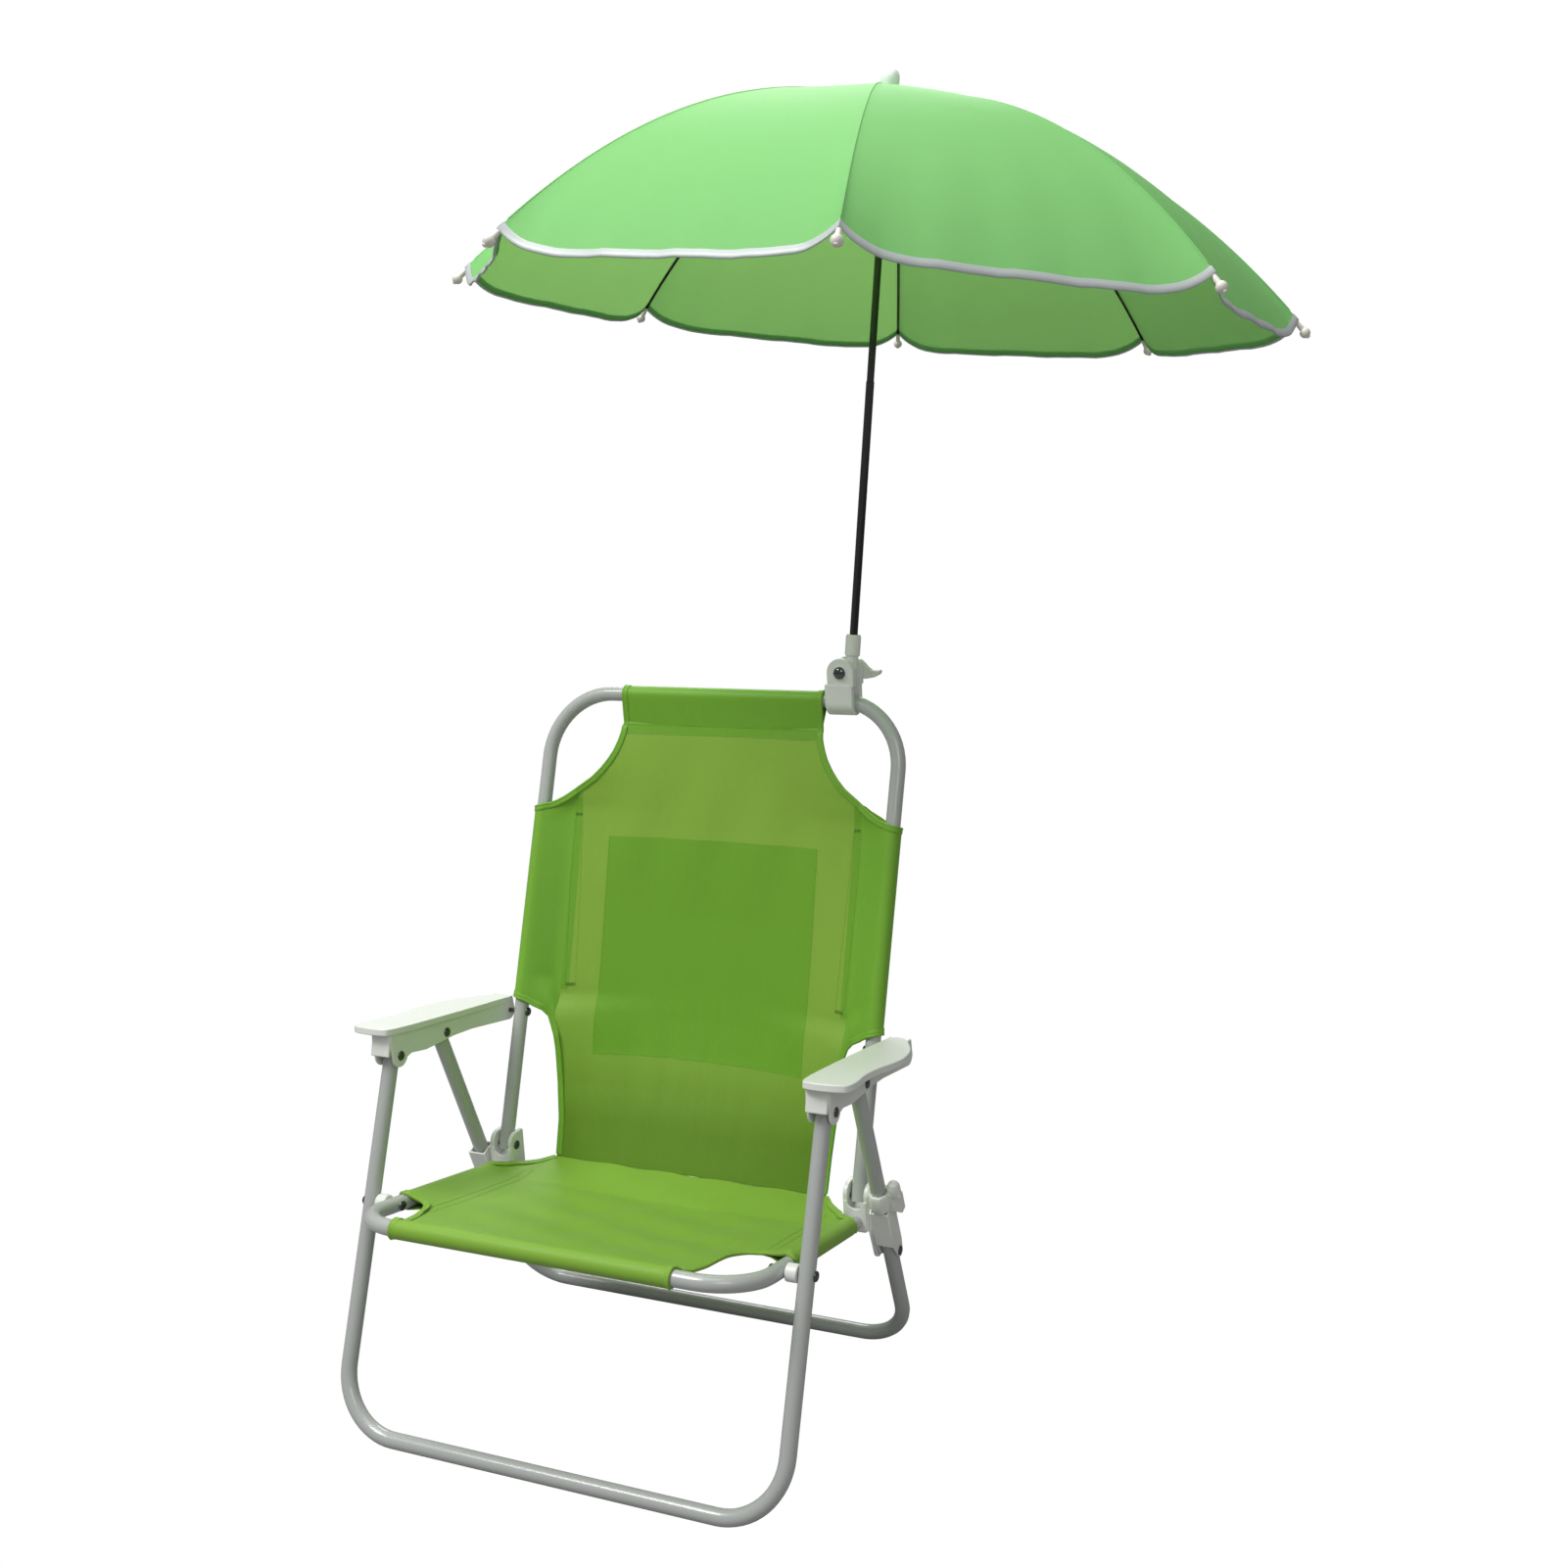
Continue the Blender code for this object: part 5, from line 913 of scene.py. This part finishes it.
turned(bm, ring, aim(chair_point(BOLT[0], TOP[0] - 0.0120, BOLT[2]), (0, -1, 0)))
cheeks = soften(put("clamp_cheeks", bm, plastic), 0.0010, 3, 50)
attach(cheeks, "back")

bm = bmesh.new()
dome = [(0, -0.0128)] + [(0.0054 * math.sin(t), -0.0128 - 0.0036 * math.cos(t))
                         for t in np.linspace(0.15, 1.45, 9)]
dome = [(0.0, -0.0164)] + dome[1:] + [(0.0054, -0.0128), (0.0024, -0.0126), (0.0024, 0.0170), (0, 0.0170)]
turned(bm, dome, aim(chair_point(BOLT[0], TOP[0], BOLT[2]), (0, 1, 0)), 40)
bolt = put("clamp_bolt_head", bm, chrome)
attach(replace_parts(bolt, "clamp_bolt"), "back")

bm = bmesh.new()
wing = arc((BOLT[0], BOLT[2]), 0.0084, 100, 285, 16)
wing += [(BOLT[0] + a, BOLT[2] + b) for a, b in (
    (0.0080, -0.0086), (0.0150, -0.0082), (0.0215, -0.0070), (0.0262, -0.0046), (0.0276, -0.0022),
    (0.0270, -0.0008), (0.0232, -0.0014), (0.0188, -0.0010), (0.0150, 0.0018), (0.0118, 0.0056),
    (0.0085, 0.0082), (0.0030, 0.0086))]
slab(bm, wing, TOP[0] + 0.0128, TOP[0] + 0.0196, rearward)
lever = soften(put("clamp_wing", bm, plastic, 30), 0.0012, 4, 45)
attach(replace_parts(lever, "clamp_lever"), "clamp_lever")

# Pole, socket, crown, ferrule and runner
# A thin dark-chromed pole in a white plastic foot that tilts on the bolt. Crown, knob and runner are
# turned plastic. Heights run up the pole from the bolt.

UP = Vector((0.0850, 0.0565, 1)).normalized()
FOOT = chair_point(BOLT[0] + 0.0060, BOLT[1], BOLT[2])
ACROSS = Vector((0, 1, 0)).cross(UP).normalized()
BEHIND = UP.cross(ACROSS)
RIM, REACH, RISE, POWER = 0.3086, 0.3538, 0.1565, 2.2
APEX = RIM + RISE
STAND = Matrix.Translation(FOOT) @ Matrix((ACROSS, BEHIND, UP)).transposed().to_4x4()


def pole_point(angle, radius, height, aside=0.0):
    """A point about the pole carried to the row frame."""
    c, s = math.cos(angle), math.sin(angle)
    return STAND @ Vector((c * radius - s * aside, s * radius + c * aside, height))


bm = bmesh.new()
turned(bm, [(0, -0.0060), (0.0092, -0.0060), (0.0092, 0.0060), (0, 0.0060)],
       aim(chair_point(BOLT[0], TOP[0], BOLT[2]), (0, 1, 0)))
turned(bm, [(0, 0.002), (0.0054, 0.002), (0.0054, 0.0134), (0.0066, 0.0140), (0.0066, 0.0300),
            (0.0058, 0.0320), (0.0040, 0.0321), (0.0038, 0.0300), (0, 0.0300)], STAND, 40)
socket = soften(put("pole_foot", bm, plastic), 0.0005, 2, 50)
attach(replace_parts(socket, "pole_socket"), "umbrella_pole")

pole_steel = principled("pole_steel", (0.085, 0.088, 0.084), 0.16, 1.0)
bm = bmesh.new()
turned(bm, [(0, 0.0172), (0.0035, 0.0172), (0.0035, 0.2440), (0.0031, 0.2444), (0.0031, APEX + 0.005),
            (0, APEX + 0.005)], STAND, 40)
pole = put("umbrella_pole_tube", bm, pole_steel)
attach(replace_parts(pole, "pole"), "umbrella_pole")

bm = bmesh.new()
turned(bm, [(0.0037, APEX - 0.0105), (0.0056, APEX - 0.0100), (0.0070, APEX - 0.0070),
            (0.0070, APEX - 0.0050), (0.0058, APEX - 0.0045), (0.0058, APEX - 0.0030),
            (0.0070, APEX - 0.0026), (0.0070, APEX - 0.0012), (0.0037, APEX - 0.0011)], STAND, 40)
crown = put("crown_hub", bm, plastic)
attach(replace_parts(crown, "canopy_crown"), "umbrella_pole")

bm = bmesh.new()
turned(bm, [(0.0036, APEX + 0.0012), (0.0070, APEX + 0.0012), (0.0070, APEX + 0.0128),
            (0.0077, APEX + 0.0140), *[(0.0077 * math.cos(t), APEX + 0.0180 + 0.0075 * math.sin(t))
                                       for t in np.linspace(0, 1.45, 8)],
            (0, APEX + 0.0255)], STAND, 40)
# The knob's plastic is whiter than the other mouldings: painted light, standing in for light falling on it.
knob = put("ferrule_knob", bm, principled("ferrule_plastic_painted_light", (0.95, 0.97, 0.98), 0.3))
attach(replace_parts(knob, "canopy_ferrule"), "umbrella_pole")

JOINT_RADIUS, HUB_RADIUS = 0.156698, 0.009


def dome_at(radius):
    return RIM + RISE * (1 - (radius / REACH) ** POWER)


def rib_at(radius):
    return dome_at(radius) - 0.0022 * math.hypot(1, POWER * RISE / REACH * (radius / REACH) ** (POWER - 1))


FOOT_OF_STRETCHER = 2 * rib_at(JOINT_RADIUS) - rib_at(HUB_RADIUS)
bm = bmesh.new()
top = FOOT_OF_STRETCHER + 0.00375
turned(bm, [(0.0038, top - 0.030), (0.0074, top - 0.0298), (0.0076, top - 0.0270), (0.0060, top - 0.0262),
            (0.0058, top - 0.0100), (0.0076, top - 0.0092), (0.0076, top - 0.0060), (0.0064, top - 0.0055),
            (0.0064, top - 0.0030), (0.0076, top - 0.0025), (0.0074, top), (0.0038, top)], STAND, 40)
slider = put("runner_collar", bm, plastic)
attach(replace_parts(slider, "runner"), "runner")

# Ribs and stretchers
# Eight dark wire ribs bowed over the crown, a round plastic tip on each, and eight stretchers from
# the runner.

rib_steel = principled("rib_steel", (0.035, 0.038, 0.035), 0.35, 0.9)
tip_plastic = principled("tip_plastic", (0.78, 0.74, 0.68), 0.35, Subsurface_Weight=0.1,
                         Subsurface_Scale=0.003)
STRETCHER_UNDER, STRETCHER_ASIDE = 0.001, 0.0024
TURNS = [math.radians(-117.65 + 45 * i) for i in range(8)]
for i, turn in enumerate(TURNS):
    radii = np.linspace(0.0078, REACH, 30)
    for aside, tag in ((-0.0007, "a"), (0.0007, "b")):
        wire = tube(f"rib_wire_{i + 1}{tag}", [pole_point(turn, r, rib_at(r), aside) for r in radii],
                    0.0006, rib_steel, 3)
        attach(wire, f"rib_{i + 1}")
    end = pole_point(turn, REACH, rib_at(REACH))
    way = (end - pole_point(turn, 0.345, rib_at(0.345))).normalized()
    bm = bmesh.new()
    ball = [(0, -0.0043)] + [(0.0043 * math.sin(t), -0.0043 * math.cos(t))
                             for t in np.linspace(0.25, 2.75, 14)]
    ball += [(0.0016, 0.0041), (0.0016, 0.0050), (0, 0.0052)]
    turned(bm, ball, aim(end, way), 28)
    turned(bm, [(0, -0.0130), (0.0018, -0.0130), (0.0022, -0.0060), (0.0022, -0.0030), (0, -0.0030)],
           aim(end, way), 16)
    tip = put(f"rib_tip_{i + 1}", bm, tip_plastic)
    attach(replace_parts(tip, f"rib_{i + 1}"), f"rib_{i + 1}")
    ends = ((HUB_RADIUS, FOOT_OF_STRETCHER), (JOINT_RADIUS, rib_at(JOINT_RADIUS)))
    foot, head = [pole_point(turn, r, h - STRETCHER_UNDER, -STRETCHER_ASIDE) for r, h in ends]
    strut = tube(f"stretcher_wire_{i + 1}", [foot, foot.lerp(head, 0.5), head], 0.0010, rib_steel, 3)
    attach(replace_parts(strut, f"stretcher_{i + 1}"), f"stretcher_{i + 1}")

# Canopy
# Eight panels of thin bright green nylon sewn over the ribs, their hems hanging between the tips in
# soft scallops under a pale reflective tape. Each rides on its rib.

canopy = cloth("canopy_cloth", (0.305, 0.713, 0.275), (0.70, 0.915, 0.50), 0.46)
canopy.node_tree.nodes["Principled BSDF"].inputs["Specular IOR Level"].default_value = 0.12
canopy.node_tree.nodes["Principled BSDF"].inputs["Sheen Weight"].default_value = 0.0
use_bump(canopy, bump_group("canopy_folds", 14, 4, 0.005), 0.2)
tape = principled("hem_tape", (0.46, 0.51, 0.49), 0.35, 0.0, Specular_IOR_Level=0.6)
use_bump(tape, bump_group("tape_weave", 300, 2, 0.0006), 0.2)
HANG = 0.0225


def gore_at(i, share, radius, away=0.0):
    """A point of panel i: share runs from its rib to the next; away lifts it off the cloth."""
    left = pole_point(TURNS[i], radius, dome_at(radius))
    right = pole_point(TURNS[(i + 1) % 8], radius, dome_at(radius))
    out = radius / REACH
    middle = min(1, 6 * (1 - abs(2 * share - 1)))
    hang = HANG * (1 - abs(2 * share - 1) ** 7) * out ** 9
    puff = -0.0050 if i in (1, 2) else 0.0020
    puff *= math.sin(math.pi * share) * math.sin(math.pi * min(1, out)) * out
    wave = 0.0007 * math.sin(share * 27 + i * 2.1 + out * 5) * out ** 5 * middle
    wave += 0.0004 * math.sin(share * 61 + i * 4.7) * out ** 12 * middle
    point = left.lerp(right, share)
    lift = (point - STAND @ Vector((0, 0, RIM - 0.25))).normalized()
    return point - UP * hang + lift * (wave + away - puff)


edge = REACH - 0.0070
for i in range(8):
    radii = [0.0048] + [0.012 + (edge - 0.012) * t ** 0.85 for t in np.linspace(0, 1, 40)]
    shares = 0.5 - 0.5 * np.cos(np.linspace(0, math.pi, 37))
    rows = [[gore_at(i, float(s), r) for s in shares] for r in radii]
    gore = sheet(f"canopy_panel_{i + 1}", rows, canopy, 0.0003)
    aside = (pole_point(TURNS[i] + math.pi / 2, 1, 0) - pole_point(0, 0, 0)).normalized()
    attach(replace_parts(gore, f"gore_{i + 1}"), f"rib_{i + 1}")
    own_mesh(gore)
    rows = []
    for s in shares:
        slope = POWER * RISE / REACH + 9 * HANG / REACH * (1 - abs(2 * s - 1) ** 7)
        wide = 0.0066 / math.hypot(1, slope)
        rows.append([gore_at(i, float(s), edge + r * wide, a) for r, a in (
            (-1.0, 0.0006), (-0.5, 0.0008), (0.03, 0.0007), (0.12, 0.0), (0.03, -0.0006), (-0.2, -0.0006))])
    hem = sheet(f"hem_tape_{i + 1}", rows, tape, 0.0003)
    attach(hem, f"rib_{i + 1}")
    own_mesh(hem)
    seam = tube(f"seam_{i + 1}", [pole_point(TURNS[i], r, dome_at(r) + 0.0002) for r in radii[1:-1]],
                0.0005, canopy, 2)
    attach(seam, f"rib_{i + 1}")

# Studio
# A pale floor that shows pure white to the camera. Four area lamps: a key high on the front left, a
# fill on the front right, a broad one on top and one behind. The surround is weak and even.

floor_white = bpy.data.materials.new("floor_white")
floor_white.use_nodes = True
tree = floor_white.node_tree
shader = tree.nodes["Principled BSDF"]
shader.inputs["Base Color"].default_value = (0.27, 0.27, 0.27, 1)
shader.inputs["Roughness"].default_value = 0.9
glow = node(tree, "ShaderNodeEmission")
glow.inputs["Color"].default_value = (1, 1, 1, 1)
seen = node(tree, "ShaderNodeLightPath")
mixed = node(tree, "ShaderNodeMixShader")
tree.links.new(seen.outputs["Is Camera Ray"], mixed.inputs[0])
tree.links.new(shader.outputs[0], mixed.inputs[1])
tree.links.new(glow.outputs[0], mixed.inputs[2])
tree.links.new(mixed.outputs[0], tree.nodes["Material Output"].inputs["Surface"])
bm = bmesh.new()
bmesh.ops.create_grid(bm, x_segments=1, y_segments=1, size=12)
bmesh.ops.translate(bm, vec=(0, 0, -0.0006), verts=bm.verts)
put("floor", bm, floor_white, 0)

world = bpy.data.worlds.new("studio")
bpy.context.scene.world = world
world.use_nodes = True
tree = world.node_tree
backdrop = tree.nodes["Background"]
backdrop.inputs["Color"].default_value = (1, 1, 1, 1)
backdrop.inputs["Strength"].default_value = 0.26
plain = node(tree, "ShaderNodeBackground")
plain.inputs["Color"].default_value = (1, 1, 1, 1)
plain.inputs["Strength"].default_value = 1.0
seen = node(tree, "ShaderNodeLightPath")
mixed = node(tree, "ShaderNodeMixShader")
tree.links.new(seen.outputs["Is Camera Ray"], mixed.inputs[0])
tree.links.new(backdrop.outputs[0], mixed.inputs[1])
tree.links.new(plain.outputs[0], mixed.inputs[2])
tree.links.new(mixed.outputs[0], tree.nodes["World Output"].inputs["Surface"])

for name, where, look, power, size in (
    ("key", (-1.3, -1.5, 3.1), (0.0, 0.0, 0.6), 66, 1.2),
    ("fill", (1.6, -2.2, 2.4), (0.0, 0.0, 0.9), 17, 1.4),
    ("top", (-0.3, 0.1, 3.2), (0.0, 0.0, 0.5), 43, 2.2),
    ("back_light", (-1.1, 2.3, 2.3), (0.0, 0.0, 0.8), 34, 1.4),
):
    lamp = bpy.data.lights.new(name, "AREA")
    lamp.energy = power
    lamp.size = size
    made = bpy.data.objects.new(name, lamp)
    made.location = where
    made.rotation_euler = (Vector(look) - Vector(where)).to_track_quat("-Z", "Y").to_euler()
    bpy.context.scene.collection.objects.link(made)

# Camera
# Stands where the photograph was taken from: right of the chair, about 0.77 m high, 13 degrees down.

forward = Vector((-0.3627, 0.9053, -0.2211)).normalized()
level = forward.cross(Vector((0, 0, 1))).normalized()
above = level.cross(forward)
roll = math.radians(-1.8455)
across = level * math.cos(roll) + above * math.sin(roll)
above = above * math.cos(roll) - level * math.sin(roll)
lens = bpy.data.cameras.new("camera")
lens.lens = 36.92
lens.sensor_width = 36
lens.shift_x, lens.shift_y = -0.0567, 0.018
lens.clip_start = 0.01
camera = bpy.data.objects.new("camera", lens)
turn = Matrix((across, above, -forward)).transposed()
camera.matrix_world = Matrix.Translation(chair_point(0.6563, -0.9168, 0.7726)) @ turn.to_4x4()
bpy.context.scene.collection.objects.link(camera)
bpy.context.scene.camera = camera
render = bpy.context.scene.render
render.resolution_x = render.resolution_y = 1601
bpy.context.scene.view_settings.view_transform = "Standard"
bpy.context.scene.view_settings.look = "None"
